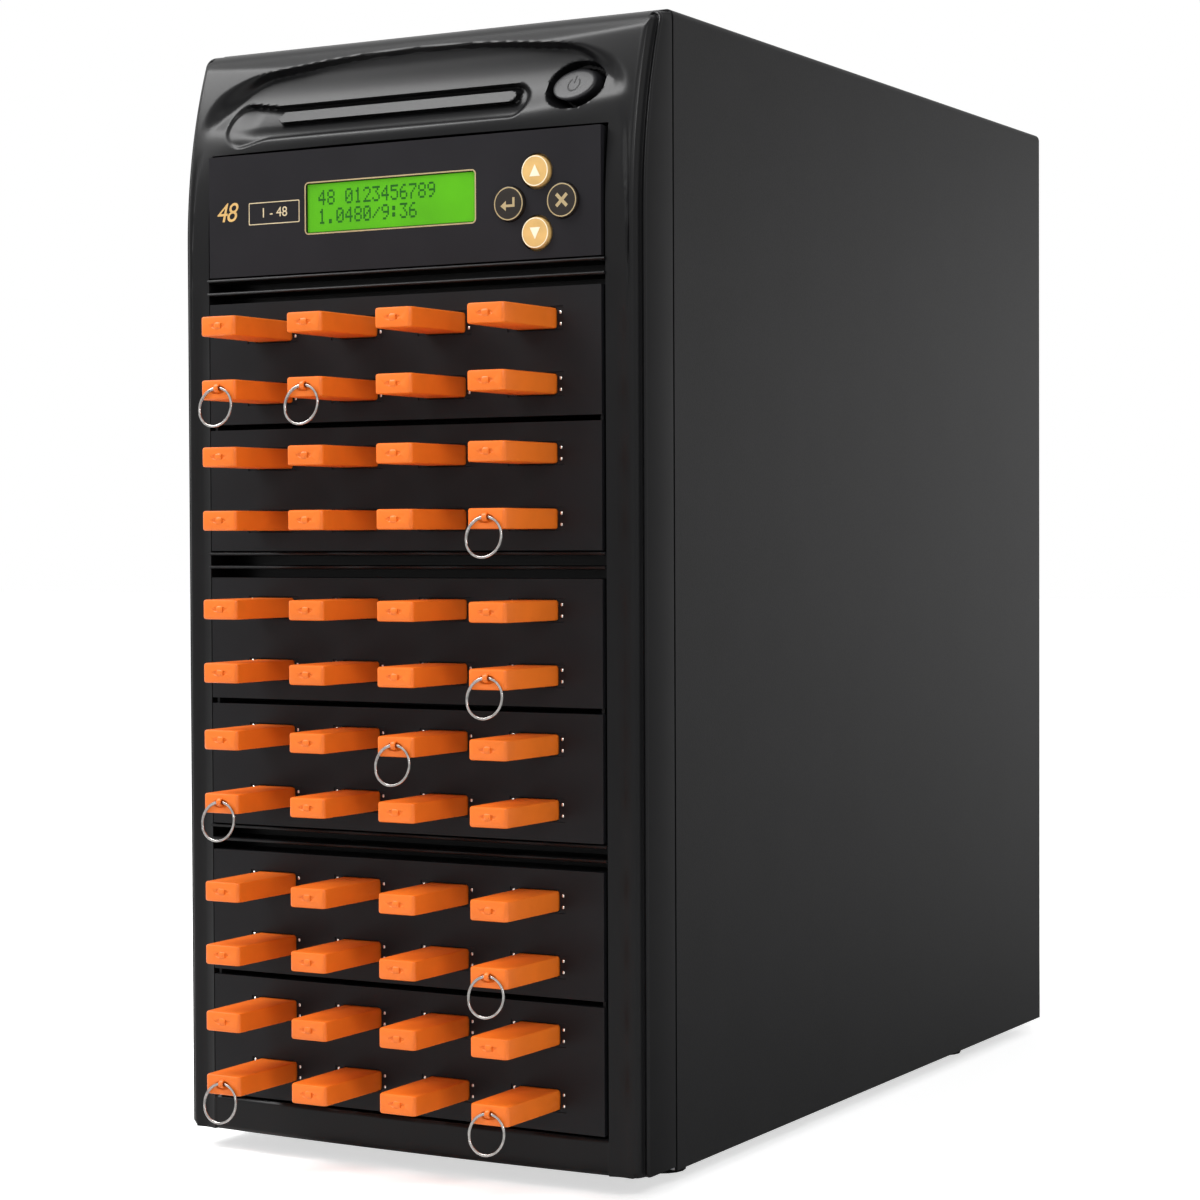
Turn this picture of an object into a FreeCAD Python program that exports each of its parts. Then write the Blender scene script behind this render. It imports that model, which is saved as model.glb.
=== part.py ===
import FreeCAD, Part
import math
import os

# USB drive duplicator: a tower with a moulded front bezel, a control unit and six bays of eight
# USB ports, each port holding a drive.  Working frame: X to the machine's right (seen by the user:
# to the right hand), Y backwards, Z up, floor at Z = 0, Y = 0 on the seam between bezel and cover.
# Everything is moved along Y at the end so that the origin lies under the middle of the object.

V = FreeCAD.Vector

# ---- driving dimensions (mm) -------------------------------------------------------------------
CLEAR = 0.3                      # clearance round everything that moves or drops in

# tower
HALF_W = 88.6                    # half of the outside width
DEPTH = 325.0                    # seam to rear edge of the cover
FOOT_H = 6.0
COVER_H = 367.5
SHEET = 1.0                      # sheet steel
COVER_R = 2.5                    # bend along the top edges
FLANGE = 9.0                     # rear flange of the cover
TOP = FOOT_H + COVER_H

# bezel
BEZEL_Z0 = FOOT_H + 1.3
BEZEL_Z1 = TOP - 1.1
BEND_Z = BEZEL_Z1 - 66.4         # above this the front leans back on an arc
BEND_R = 184.0
SKIN = 3.0
BOW_MID = 26.0                   # front of the bezel before the seam, in the middle
BOW_EDGE = 23.0                  # the same beside the opening
CORNER = 19.0                    # the same at the outer corner
RIM = 13.1                       # bezel beside the faceplates

# bays: 5.25 inch pitch
BAY = (COVER_H - 71.4) / 7
FACE_H = BAY - 1.9
FACE_W = 2 * (HALF_W - RIM)
FACE_T = 2.0
FACE_Y = -23.8                   # front of all faceplates
DIVIDER = 7.05                   # extra height at each divider
BAY_Z0 = FOOT_H + 13.8           # bottom of the lowest faceplate
OPEN_GAP = 1.0                   # bezel opening round the faceplates

# ports and drives
COLS = 4
COL_PITCH = 33.8
COL_OFF = 0.9                    # the port array sits slightly right of the middle
ROW_OFF = 10.3                   # rows above and below the middle of a bay
WINDOW_W, WINDOW_H = 20.4, 7.6
PLUG_W, PLUG_H, PLUG_L = 12.0, 4.5, 12.0
SHELL_WALL = 0.8
SOCKET_BACK = -6.0
CASE_W, CASE_T, CASE_L = 14.8, 6.4, 29.3
CASE_END_R, CASE_BACK_R = 1.4, 3.8   # corners in plan at the free end and at the port
CASE_GAP = 0.4                   # casing to faceplate

# lanyard bridge and split ring
BRIDGE_W, BRIDGE_H, BRIDGE_T = 1.6, 3.0, 0.75
BRIDGE_OUT = 2.2
RING_R = 6.5                     # mean radius
RING_WIRE = 0.8
RING_SIDES = 16
RING_TILT = 10.0                 # rest angle forwards from the vertical
RING_Y = 0.7                     # hinge line before the end face
RING_Z = 0.5                     # hinge line above the middle of the casing

# power button
BTN_X, BTN_Z = HALF_W - 26.6, BEZEL_Z1 - 22.8
BTN_W, BTN_H = 16.4, 11.6
BTN_RIM = 2.3
BTN_PROUD = 1.4
BTN_TRAVEL = 2.5

# grip slot with its bar
SLOT_X, SLOT_Z = -12.6, BEZEL_Z1 - 25.8
SLOT_W, SLOT_H = 2 * HALF_W - 59.2, 10.4
SLOT_D = 1.8

# rear
FAN, FAN_T, FAN_PITCH = 80.0, 25.0, 71.5
PSU_W, PSU_H, PSU_L = 2 * HALF_W - 27.2, 86.0, 140.0
PSU_Z = TOP - 105.5
FAN_Z = PSU_Z - 68.0
INLET_X, INLET_Z = 27.0 - PSU_W / 2, PSU_Z + 24.0
SWITCH_X, SWITCH_Z = INLET_X, PSU_Z + 54.0


# ---- helpers -----------------------------------------------------------------------------------
def box(x0, x1, y0, y1, z0, z1):
    return Part.makeBox(x1 - x0, y1 - y0, z1 - z0, V(x0, y0, z0))


def boxc(cx, cz, w, h, y0, y1):
    """Box centred in X and Z, from y0 to y1."""
    return box(cx - w / 2, cx + w / 2, y0, y1, cz - h / 2, cz + h / 2)


def prism_y(points, y0, y1):
    """Polygon of (x, z) points extruded along Y."""
    pts = [V(x, y0, z) for x, z in points]
    return Part.Face(Part.makePolygon(pts + [pts[0]])).extrude(V(0, y1 - y0, 0))


def round_y(cx, cz, rx, rz, n, y0, y1):
    """Small round or oval form along Y with n sides."""
    angles = [2 * math.pi * (i + 0.5) / n for i in range(n)]
    return prism_y([(cx + rx * math.cos(a), cz + rz * math.sin(a)) for a in angles], y0, y1)


def ring_y(cx, cz, r_in, r_out, n, y0, y1):
    return round_y(cx, cz, r_out, r_out, n, y0, y1).cut(round_y(cx, cz, r_in, r_in, n, y0 - 1, y1 + 1))


def slot_y(cx, cz, w, h, n, y0, y1):
    """Stadium along X with n facets at each end, extruded along Y."""
    r = h / 2
    turns = [math.pi * (i / n - 0.5) for i in range(n + 1)]
    right = [(cx + w / 2 - r + r * math.cos(a), cz + r * math.sin(a)) for a in turns]
    left = [(cx - w / 2 + r - r * math.cos(a), cz - r * math.sin(a)) for a in turns]
    return prism_y(right + left, y0, y1)


def prism_x(points, x0, x1):
    """Polygon of (y, z) points extruded along X."""
    pts = [V(x0, y, z) for y, z in points]
    return Part.Face(Part.makePolygon(pts + [pts[0]])).extrude(V(x1 - x0, 0, 0))


def compound(shapes):
    return shapes[0] if len(shapes) == 1 else Part.makeCompound(shapes)


def arc(a, b, c):
    return Part.Arc(V(*a), V(*b), V(*c)).toShape()


def line(a, b):
    return Part.makeLine(V(*a), V(*b))


# ---- bays --------------------------------------------------------------------------------------
BAYS = ["f", "e", "d", "c", "b", "a"]
bay_z = {}
z_now = BAY_Z0
for i, name in enumerate(BAYS):
    if i in (2, 4):
        z_now += DIVIDER
    bay_z[name] = z_now
    z_now += BAY
CTRL_Z0 = z_now + DIVIDER
OPEN_X = FACE_W / 2 + OPEN_GAP
OPEN_Z0 = BAY_Z0 - OPEN_GAP
OPEN_Z1 = CTRL_Z0 + FACE_H + OPEN_GAP


def col_x(c):
    return COL_OFF + COL_PITCH * (c - (COLS + 1) / 2)


def row_bay(r):
    """Bay letter and centre height of row r (1 at the top)."""
    name = "abcdef"[(r - 1) // 2]
    mid = bay_z[name] + FACE_H / 2
    return name, mid + (ROW_OFF if r % 2 else -ROW_OFF)


def divider_gaps():
    """Bottom and top of the three spaces between the groups of faceplates."""
    below = [bay_z["e"] + FACE_H, bay_z["c"] + FACE_H, bay_z["a"] + FACE_H]
    above = [bay_z["d"], bay_z["b"], CTRL_Z0]
    return list(zip(below, above))


# ---- bezel -------------------------------------------------------------------------------------
def chain(points):
    """Straight edges through points."""
    return [line(a, b) for a, b in zip(points, points[1:])]


def plan_wire(s, z):
    """Closed plan section of the bezel, s inside the outer surface."""
    w = HALF_W - s
    back = 12.0
    if s == 0:
        # cove beside the opening, ridge, groove and rounded corner
        cove = [(OPEN_X + 0.5, -BOW_EDGE), (OPEN_X + 2.7, -22.0), (OPEN_X + 5.2, -21.5), (w - 3.0, -21.3)]
        edge = [(w - 2.1, -21.0), (w - 1.7, -20.2), (w - 1.5, -19.7), (w - 1.1, -19.6), (w - 0.3, -19.1)]
        half = cove + edge + [(w, 0.7 - CORNER), (w, back)]
    else:
        half = [(OPEN_X + 0.5, s - BOW_EDGE), (w, s + 1.5 - CORNER), (w, back)]
    right = chain([(x, y, z) for x, y in half])
    left = chain([(-x, y, z) for x, y in half])
    front = arc((-OPEN_X - 0.5, s - BOW_EDGE, z), (0, s - BOW_MID, z), (OPEN_X + 0.5, s - BOW_EDGE, z))
    rear = line((-w, back, z), (w, back, z))
    return Part.Wire(Part.__sortEdges__([front] + right + left + [rear]))


def brow_region(s):
    """Everything behind the rounded top of the bezel, a straight extrusion along X."""
    z1 = BEZEL_Z1 - s
    x = -120
    edges = chain([(x, 20, 0), (x, 20, z1), (x, s - 5.2, z1)])
    edges.append(arc((x, s - 5.2, z1), (x, s - 7.4, z1 - 1.0), (x, s - 11.0, z1 - 4.5)))
    edges.append(arc((x, s - 11.0, z1 - 4.5), (x, s - 19.2, z1 - 14.4), (x, s - 25.0, z1 - 27.0)))
    edges += chain([(x, s - 25.0, z1 - 27.0), (x, s - 27.0, z1 - 40.0), (x, s - 27.0, 0), (x, 20, 0)])
    return Part.Face(Part.Wire(edges)).extrude(V(240, 0, 0))


# concave scoop: Y before the seam and drop below the top of the bezel
SCOOP_TOP, SCOOP_BEND, SCOOP_MIDDLE = (-10.2, 4.4), (-11.2, 12.0), (-14.4, 21.0)
SCOOP_LOW, SCOOP_END = (-19.6, 28.4), (-27.5, 37.4)


def scoop_front(s):
    """Everything in front of the concave scoop surface, s behind it."""
    x = -130
    a, b, c, d, e = [(x, y + s, BEZEL_Z1 - drop) for y, drop in (SCOOP_TOP, SCOOP_BEND, SCOOP_MIDDLE, SCOOP_LOW, SCOOP_END)]
    edges = [line(a, b), arc(b, c, d), line(d, e)]
    edges += chain([e, (x, -60, e[2]), (x, -60, a[2]), a])
    return Part.Face(Part.Wire(edges)).extrude(V(260, 0, 0))


def scoop_outline(s):
    """Area under the brow line, seen from the front: a flat arch with rounded shoulders."""
    y = -60
    top = BEZEL_Z1 + s
    x_arch, x_shoulder, x_end = HALF_W - 31.6, HALF_W - 16.0 + s, HALF_W - 7.1 + s
    low = BEZEL_Z1 - 39.4
    edges = [arc((-x_arch, y, top - 9.7), (0, y, top - 6.1), (x_arch, y, top - 9.7))]
    for k in (-1, 1):
        edges.append(arc((k * x_arch, y, top - 9.7), (k * x_shoulder, y, top - 15.2), (k * x_end, y, top - 27.4)))
        edges += chain([(k * x_end, y, top - 27.4), (k * (x_end + 0.5), y, low)])
    edges.append(line((-x_end - 0.5, y, low), (x_end + 0.5, y, low)))
    return Part.Face(Part.Wire(Part.__sortEdges__(edges))).extrude(V(0, 80, 0))


def bezel_body(s):
    z0 = BEZEL_Z0 + s
    z1 = BEZEL_Z1 - s
    lower = Part.Face(plan_wire(s, z0)).extrude(V(0, 0, BEND_Z - z0))
    upper = Part.Face(plan_wire(s, BEND_Z))
    upper.rotate(V(0, BEND_R - CORNER, BEND_Z), V(1, 0, 0), 0)
    upper = upper.revolve(V(0, BEND_R - CORNER, BEND_Z), V(1, 0, 0), -24)
    body = lower.fuse(upper).removeSplitter()
    body = body.common(box(-100, 100, -40, 0, z0, z1))
    body = body.common(brow_region(s))
    return body.cut(scoop_front(s).common(scoop_outline(s)))


def front_bezel():
    outer = bezel_body(0)
    inner = bezel_body(SKIN)
    shell = outer.cut(inner.common(box(-100, 100, -40, 1, 0, 500)))
    frame = box(-OPEN_X - SKIN, OPEN_X + SKIN, -40, 0, OPEN_Z0 - SKIN, OPEN_Z1 + SKIN).common(outer)
    shell = shell.fuse(frame)
    shell = shell.cut(box(-OPEN_X, OPEN_X, -40, 1, OPEN_Z0, OPEN_Z1))
    for low, high in divider_gaps():
        bar = box(-OPEN_X, OPEN_X, FACE_Y + 0.9, FACE_Y + 12, low + 0.7, high - 0.5)
        third = (high - low - 1.2) / 4
        groove = box(-OPEN_X, OPEN_X, FACE_Y, FACE_Y + 6, low + 0.7 + third, high - 0.5 - third)
        shell = shell.fuse(bar.cut(groove))
    # grip slot with its bar, following the scoop
    slot = slot_y(SLOT_X, SLOT_Z, SLOT_W, SLOT_H, 8, -60, 0)
    flare = round_y(SLOT_X - SLOT_W / 2 + 10.6, SLOT_Z - 1.6, 12.0, 7.3, 16, -60, 0)
    rail = slot_y(SLOT_X + 7.8, SLOT_Z + 1.0, SLOT_W - 26, SLOT_H / 3, 6, -60, 0)
    shell = shell.cut(slot.fuse(flare).cut(rail).common(scoop_front(SLOT_D)))
    # well and hole of the power button
    well = round_y(BTN_X, BTN_Z, BTN_W / 2 + BTN_RIM, BTN_H / 2 + BTN_RIM, 20, -60, 0)
    shell = shell.cut(well.common(scoop_front(1.2)))
    shell = shell.cut(round_y(BTN_X, BTN_Z, BTN_W / 2 + CLEAR, BTN_H / 2 + CLEAR, 20, -60, -1))
    return shell.removeSplitter()


def scoop_depth(z):
    """Y of the scoop surface at height z, by straight runs between its points."""
    run = [SCOOP_TOP, SCOOP_BEND, SCOOP_MIDDLE, SCOOP_LOW, SCOOP_END]
    for (y0, d0), (y1, d1) in zip(run, run[1:]):
        if d0 <= BEZEL_Z1 - z <= d1:
            return y0 + (y1 - y0) * (BEZEL_Z1 - z - d0) / (d1 - d0)
    return SCOOP_END[0]


def power_button():
    """Oval cap whose face leans back with the scoop."""
    h = BTN_H / 2
    y_low = scoop_depth(BTN_Z - h) - BTN_PROUD
    y_high = scoop_depth(BTN_Z + h) - BTN_PROUD
    front = prism_x([(y_low, BTN_Z - h - 1), (y_high, BTN_Z + h + 1), (-8.0, BTN_Z + h + 1), (-8.0, BTN_Z - h - 1)],
                    BTN_X - BTN_W, BTN_X + BTN_W)
    cap = round_y(BTN_X, BTN_Z, BTN_W / 2, h, 20, -40, -8.0).common(front)
    flange = boxc(BTN_X, BTN_Z, BTN_W + 2.4, BTN_H + 2.0, -8.0, -6.8)
    return cap.fuse(flange).removeSplitter()


def power_switch():
    body = boxc(BTN_X, BTN_Z, 12, 12, -3.0, 0)
    return body.fuse(boxc(BTN_X, BTN_Z, 3.0, 3.0, -4.0, -3.0))


# ---- sheet metal -------------------------------------------------------------------------------
SCREW_R, SCREW_HEAD_R, SCREW_HEAD = 1.7, 3.4, 2.0
COVER_SCREWS = [(s * (HALF_W - SHEET - FLANGE / 2), FOOT_H + COVER_H * f) for s in (-1, 1) for f in (0.1, 0.5, 0.9)]
REAR_IN = DEPTH - 2 * SHEET      # inner face of the rear panel
REAR_OUT = DEPTH - SHEET


def screw_hole(x, z, y0, y1):
    return round_y(x, z, SCREW_R + 0.2, SCREW_R + 0.2, 8, y0, y1)


def outer_cover():
    body = box(-HALF_W, HALF_W, 0, DEPTH, FOOT_H, TOP)
    edges = [e for e in body.Edges if abs(e.BoundBox.ZMin - TOP) < 0.01 and e.BoundBox.YLength > 100]
    body = body.makeFillet(COVER_R, edges)
    w = HALF_W - SHEET
    body = body.cut(box(-w, w, -1, REAR_OUT, FOOT_H - 1, TOP - SHEET))
    body = body.cut(box(-w + FLANGE, w - FLANGE, REAR_OUT - 1, DEPTH + 1, FOOT_H - 1, TOP - SHEET))
    body = body.cut(box(-w, w, REAR_OUT - 1, DEPTH + 1, FOOT_H - 1, FOOT_H + SHEET))
    for x, z in COVER_SCREWS:
        body = body.cut(screw_hole(x, z, REAR_OUT - 1, DEPTH + 1))
    return body


def chassis():
    w = HALF_W - SHEET
    pan = box(-w, w, 0, REAR_IN, FOOT_H, FOOT_H + SHEET)
    z0 = FOOT_H + SHEET
    z1 = TOP - SHEET
    front = box(-w, w, 0, SHEET, z0, z1)
    front = front.cut(box(-OPEN_X, OPEN_X, -1, 2, OPEN_Z0, OPEN_Z1))
    sides = []
    for s in (-1, 1):
        a, b = sorted((s * w, s * (w - SHEET)))
        sides.append(box(a, b, SHEET, REAR_IN, z0, z0 + 14))
        sides.append(box(a, b, SHEET, REAR_IN, z1 - 12, z1))
    return pan.fuse([front] + sides).removeSplitter()


def fan_corners():
    p = FAN_PITCH / 2
    return [(x, FAN_Z + z) for x in (-p, p) for z in (-p, p)]


def rear_panel():
    w = HALF_W - SHEET
    body = box(-w, w, REAR_IN, REAR_OUT, FOOT_H, TOP - SHEET)
    body = body.cut(boxc(0, PSU_Z + PSU_H / 2, PSU_W - 12, PSU_H - 12, REAR_IN - 1, DEPTH))
    body = body.cut(round_y(0, FAN_Z, FAN / 2 - 2, FAN / 2 - 2, 32, REAR_IN - 1, DEPTH))
    for x, z in fan_corners():
        body = body.cut(round_y(x, z, 2.3, 2.3, 8, REAR_IN - 1, DEPTH))
    for x, z in COVER_SCREWS:
        body = body.cut(screw_hole(x, z, REAR_IN - 1, DEPTH))
    for row in range(6):
        for side in (-1, 1):
            body = body.cut(boxc(side * 32, FOOT_H + 44 + 12 * row, 44, 4, REAR_IN - 1, DEPTH))
    return body


def drive_cage():
    x1 = FACE_W / 2 - 0.5
    x0 = x1 - SHEET
    z1 = TOP - 17.5
    z0 = FOOT_H + SHEET
    plates = []
    groups = [(BAY_Z0, bay_z["e"] + FACE_H), (bay_z["d"], bay_z["c"] + FACE_H)]
    groups += [(bay_z["b"], bay_z["a"] + FACE_H), (CTRL_Z0, CTRL_Z0 + FACE_H)]
    for s in (-1, 1):
        a, b = sorted((s * x0, s * x1))
        plate = box(a, b, SHEET, 150, z0, z1)
        plate = plate.fuse([box(a, b, FACE_Y + FACE_T, SHEET, g0, g1) for g0, g1 in groups])
        plates.append(plate)
    top = box(-x0, x0, SHEET, 150, z1 - SHEET, z1)
    foot = box(-x0, x0, SHEET, 150, z0, z0 + SHEET)
    shelf = box(-x0, x0, 10, 150, CTRL_Z0 - 4.0, CTRL_Z0 - 3.0)
    return plates[0].fuse([plates[1], top, foot, shelf]).removeSplitter()


def feet():
    out = []
    for x in (18.6 - HALF_W, HALF_W - 18.6):
        for y in (24, DEPTH - 63):
            rings = []
            for r, z in ((8.0, 0), (9.0, FOOT_H)):
                angles = [2 * math.pi * i / 16 for i in range(17)]
                rings.append(Part.makePolygon([V(x + r * math.cos(a), y + r * math.sin(a), z) for a in angles]))
            out.append(Part.makeLoft(rings, True, True))
    return compound(out)


def cover_screws():
    out = []
    for x, z in COVER_SCREWS:
        head = round_y(x, z, SCREW_HEAD_R, SCREW_HEAD_R, 12, DEPTH, DEPTH + SCREW_HEAD)
        out.append(head.fuse(round_y(x, z, SCREW_R, SCREW_R, 6, DEPTH - 6, DEPTH)).removeSplitter())
    return compound(out)


# ---- port units --------------------------------------------------------------------------------
def tray(z0):
    """Faceplate with top and bottom returns, without its windows."""
    x = FACE_W / 2
    back = -3.0
    body = box(-x, x, FACE_Y, FACE_Y + FACE_T, z0, z0 + FACE_H)
    w = x - 1.9
    low = box(-w, w, FACE_Y + FACE_T, back, z0, z0 + 1.2)
    high = box(-w, w, FACE_Y + FACE_T, back, z0 + FACE_H - 1.2, z0 + FACE_H)
    return body.fuse([low, high]).removeSplitter()


def port_faceplate(name):
    z0 = bay_z[name]
    body = tray(z0)
    for r in (-1, 1):
        for c in range(1, COLS + 1):
            body = body.cut(boxc(col_x(c), z0 + FACE_H / 2 + r * ROW_OFF, WINDOW_W, WINDOW_H, FACE_Y - 1, FACE_Y + FACE_T + 1))
    # small plain pip beside the source port
    if name == "a":
        body = body.fuse(round_y(col_x(1) + COL_PITCH / 2, z0 + FACE_H / 2 + ROW_OFF, 1.0, 1.0, 8, FACE_Y - 0.3, FACE_Y))
    return body.removeSplitter()


def socket(x, z):
    y0 = FACE_Y + FACE_T - 0.6
    cav_w = PLUG_W + 2 * CLEAR
    cav_h = PLUG_H + 2 * CLEAR
    body = boxc(x, z, cav_w + 2 * SHELL_WALL, cav_h + 2 * SHELL_WALL, y0, SOCKET_BACK)
    cavity = boxc(x, z, cav_w, cav_h, y0 - 1, -9.6)
    return body.cut(cavity)


def usb_sockets():
    out = []
    for r in range(1, 13):
        for c in range(1, COLS + 1):
            out.append(socket(col_x(c), row_bay(r)[1]))
    return compound(out)


def port_boards():
    out = []
    for name in BAYS:
        mid = bay_z[name] + FACE_H / 2
        board = boxc(0, mid, FACE_W - 5, FACE_H - 2.4 - 2 * CLEAR, SOCKET_BACK, SOCKET_BACK + 1.6)
        chips = [boxc(x, mid, 9, 9, SOCKET_BACK + 1.6, SOCKET_BACK + 2.8) for x in (-33, 0.9, 35)]
        out.append(board.fuse(chips).removeSplitter())
    return compound(out)


# ---- drives ------------------------------------------------------------------------------------
CASE_BACK = FACE_Y - CASE_GAP
CASE_END = CASE_BACK - CASE_L


def case_plan():
    """Plan of the casing: small corners at the free end, well rounded ones at the port."""
    half = []
    w = CASE_W / 2
    for i in range(2):
        a = math.radians(90 * i)
        half.append((w - CASE_END_R + CASE_END_R * math.sin(a), CASE_END + CASE_END_R - CASE_END_R * math.cos(a)))
    for i in range(3):
        a = math.radians(45 * i)
        half.append((w - CASE_BACK_R + CASE_BACK_R * math.cos(a), CASE_BACK - CASE_BACK_R + CASE_BACK_R * math.sin(a)))
    return half + [(-x, y) for x, y in reversed(half)]


def drive(c, r):
    x = col_x(c)
    z = row_bay(r)[1]
    pts = [V(x + px, py, z - CASE_T / 2) for px, py in case_plan()]
    body = Part.Face(Part.makePolygon(pts + [pts[0]])).extrude(V(0, 0, CASE_T))
    # the bridge stands on two feet on the end face
    out = CASE_END - BRIDGE_OUT
    back = CASE_END + 0.2
    h, foot = BRIDGE_H / 2, 0.6
    c_shape = [(back, -h), (out, -h), (out, h), (back, h), (back, h - foot), (out + BRIDGE_T, h - foot),
               (out + BRIDGE_T, foot - h), (back, foot - h)]
    body = body.fuse(prism_x([(y, z + RING_Z + dz) for y, dz in c_shape], x - BRIDGE_W / 2, x + BRIDGE_W / 2))
    plug = boxc(x, z, PLUG_W, PLUG_H, CASE_BACK, CASE_BACK + PLUG_L)
    return body.fuse(plug).removeSplitter()


def ring(c, r):
    x = col_x(c)
    z = row_bay(r)[1] + RING_Z
    y = CASE_END - RING_Y
    h = RING_WIRE / 2
    drop = RING_R * math.cos(math.pi / RING_SIDES)
    body = ring_y(x, z - drop, RING_R - h, RING_R + h, RING_SIDES, y - h, y + h)
    body.rotate(V(x, y, z), V(1, 0, 0), -RING_TILT)
    return body


# ---- control unit ------------------------------------------------------------------------------
LCD_X, LCD_Z = -3.2, CTRL_Z0 + FACE_H / 2 + 0.85
LCD_W, LCD_H = FACE_W - 85.6, 16.3
KEY_X, KEY_Z, KEY_OFF = FACE_W / 2 - 23.1, CTRL_Z0 + FACE_H / 2 - 2.45, 9.7
KEY_D, KEY_PROUD, KEY_TRAVEL = 11.0, 1.2, 0.8
KEYS = {"key_up": (0, 1), "key_down": (0, -1), "key_enter": (-1, 0), "key_escape": (1, 0)}


def key_pos(name):
    dx, dz = KEYS[name]
    return KEY_X + dx * KEY_OFF, KEY_Z + dz * KEY_OFF


def control_faceplate():
    body = tray(CTRL_Z0)
    body = body.cut(boxc(LCD_X, LCD_Z, LCD_W, LCD_H, FACE_Y - 1, FACE_Y + FACE_T + 1))
    for name in KEYS:
        x, z = key_pos(name)
        body = body.cut(round_y(x, z, KEY_D / 2 + CLEAR, KEY_D / 2 + CLEAR, 16, FACE_Y - 1, FACE_Y + FACE_T + 1))
    return body


LCD_BACK = -12.9


def lcd_module():
    y0 = FACE_Y + FACE_T
    body = boxc(LCD_X, LCD_Z, LCD_W + 12, FACE_H - 8.4, y0, LCD_BACK)
    win = boxc(LCD_X, LCD_Z, LCD_W - 2 * CLEAR, LCD_H - 2 * CLEAR, FACE_Y + 0.6, y0)
    return body.fuse(win).removeSplitter()


def control_board():
    y0 = FACE_Y + FACE_T
    mid = CTRL_Z0 + FACE_H / 2
    body = boxc(0, mid, FACE_W - 11, FACE_H - 4.4, LCD_BACK, LCD_BACK + 1.6)
    parts = [boxc(-20, mid, 20, 20, LCD_BACK + 1.6, LCD_BACK + 4.0)]
    for name in KEYS:
        x, z = key_pos(name)
        parts.append(boxc(x, z, 6, 6, y0 + 3.4, LCD_BACK))
    return body.fuse(parts).removeSplitter()


def key(name):
    x, z = key_pos(name)
    y0 = FACE_Y + FACE_T
    cap = round_y(x, z, KEY_D / 2, KEY_D / 2, 16, FACE_Y - KEY_PROUD, y0 + CLEAR)
    flange = round_y(x, z, KEY_D / 2 + 0.9, KEY_D / 2 + 0.9, 8, y0 + CLEAR, y0 + 1.1)
    stem = boxc(x, z, 4.0, 4.0, y0 + 1.1, y0 + 3.4 - KEY_TRAVEL - 0.2)
    return cap.fuse([flange, stem]).removeSplitter()


# ---- rear ---------------------------------------------------------------------------------------
INLET_W, INLET_H = 24.0, 16.5
PSU_Y1 = REAR_IN


def power_supply():
    body = box(-PSU_W / 2, PSU_W / 2, PSU_Y1 - PSU_L, PSU_Y1, PSU_Z, PSU_Z + PSU_H)
    body = body.cut(boxc(INLET_X, INLET_Z, INLET_W + 3.0, INLET_H + 3.0, PSU_Y1 - 20, PSU_Y1 + 1))
    body = body.cut(boxc(SWITCH_X, SWITCH_Z, 20.0, 13.0, PSU_Y1 - 14, PSU_Y1 + 1))
    for i in range(9):
        body = body.cut(boxc(22, PSU_Z + 15 + 7 * i, 74, 3, PSU_Y1 - 6, PSU_Y1 + 1))
    return body


def mains_inlet():
    flange = boxc(INLET_X, INLET_Z, INLET_W + 7.0, INLET_H + 7.0, PSU_Y1, PSU_Y1 + 1.8)
    body = boxc(INLET_X, INLET_Z, INLET_W + 3.0, INLET_H + 3.0, PSU_Y1 - 20, PSU_Y1)
    shape = flange.fuse(body)
    shape = shape.cut(boxc(INLET_X, INLET_Z, INLET_W, INLET_H, PSU_Y1 - 16, PSU_Y1 + 3))
    for dx, dz in ((-7, -1.8), (0, 2.2), (7, -1.8)):
        shape = shape.fuse(boxc(INLET_X + dx, INLET_Z + dz, 2.0, 4.0, PSU_Y1 - 16, PSU_Y1 - 3))
    return shape.removeSplitter()


def switch_frame():
    flange = boxc(SWITCH_X, SWITCH_Z, 23.0, 16.0, PSU_Y1, PSU_Y1 + 1.2)
    body = boxc(SWITCH_X, SWITCH_Z, 20.0, 13.0, PSU_Y1 - 14, PSU_Y1)
    return flange.fuse(body).cut(boxc(SWITCH_X, SWITCH_Z, 17.0, 10.4, PSU_Y1 - 11, PSU_Y1 + 3)).removeSplitter()


ROCK_W, ROCK_H, ROCK_TILT = 16.2, 9.2, 8.0
ROCK_Y = PSU_Y1 - 3.0


def mains_rocker():
    h = ROCK_H / 2
    pts = [(ROCK_Y - 2.0, -h + 0.7), (ROCK_Y + 4.6, -h), (ROCK_Y + 3.6, 0), (ROCK_Y + 4.6, h), (ROCK_Y - 2.0, h - 0.7)]
    body = prism_x([(y, z + SWITCH_Z) for y, z in pts], SWITCH_X - ROCK_W / 2, SWITCH_X + ROCK_W / 2)
    body = body.fuse(box(SWITCH_X - 3, SWITCH_X + 3, ROCK_Y - 5, ROCK_Y - 2, SWITCH_Z - 1.5, SWITCH_Z + 1.5))
    body.rotate(V(SWITCH_X, ROCK_Y, SWITCH_Z), V(1, 0, 0), ROCK_TILT)
    return body.removeSplitter()


def fan_frame():
    y0 = REAR_IN - FAN_T
    body = boxc(0, FAN_Z, FAN, FAN, y0, REAR_IN)
    body = body.cut(round_y(0, FAN_Z, FAN / 2 - 2, FAN / 2 - 2, 32, y0 - 1, REAR_IN + 1))
    arms = [boxc(0, FAN_Z, FAN - 2, 4, y0, y0 + 2.5), boxc(0, FAN_Z, 4, FAN - 2, y0, y0 + 2.5)]
    body = body.fuse(arms + [round_y(0, FAN_Z, 15, 15, 16, y0, y0 + 4)])
    for x, z in fan_corners():
        body = body.cut(round_y(x, z, 2.3, 2.3, 8, y0 - 1, REAR_IN + 1))
    return body.removeSplitter()


BLADES = 7


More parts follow.
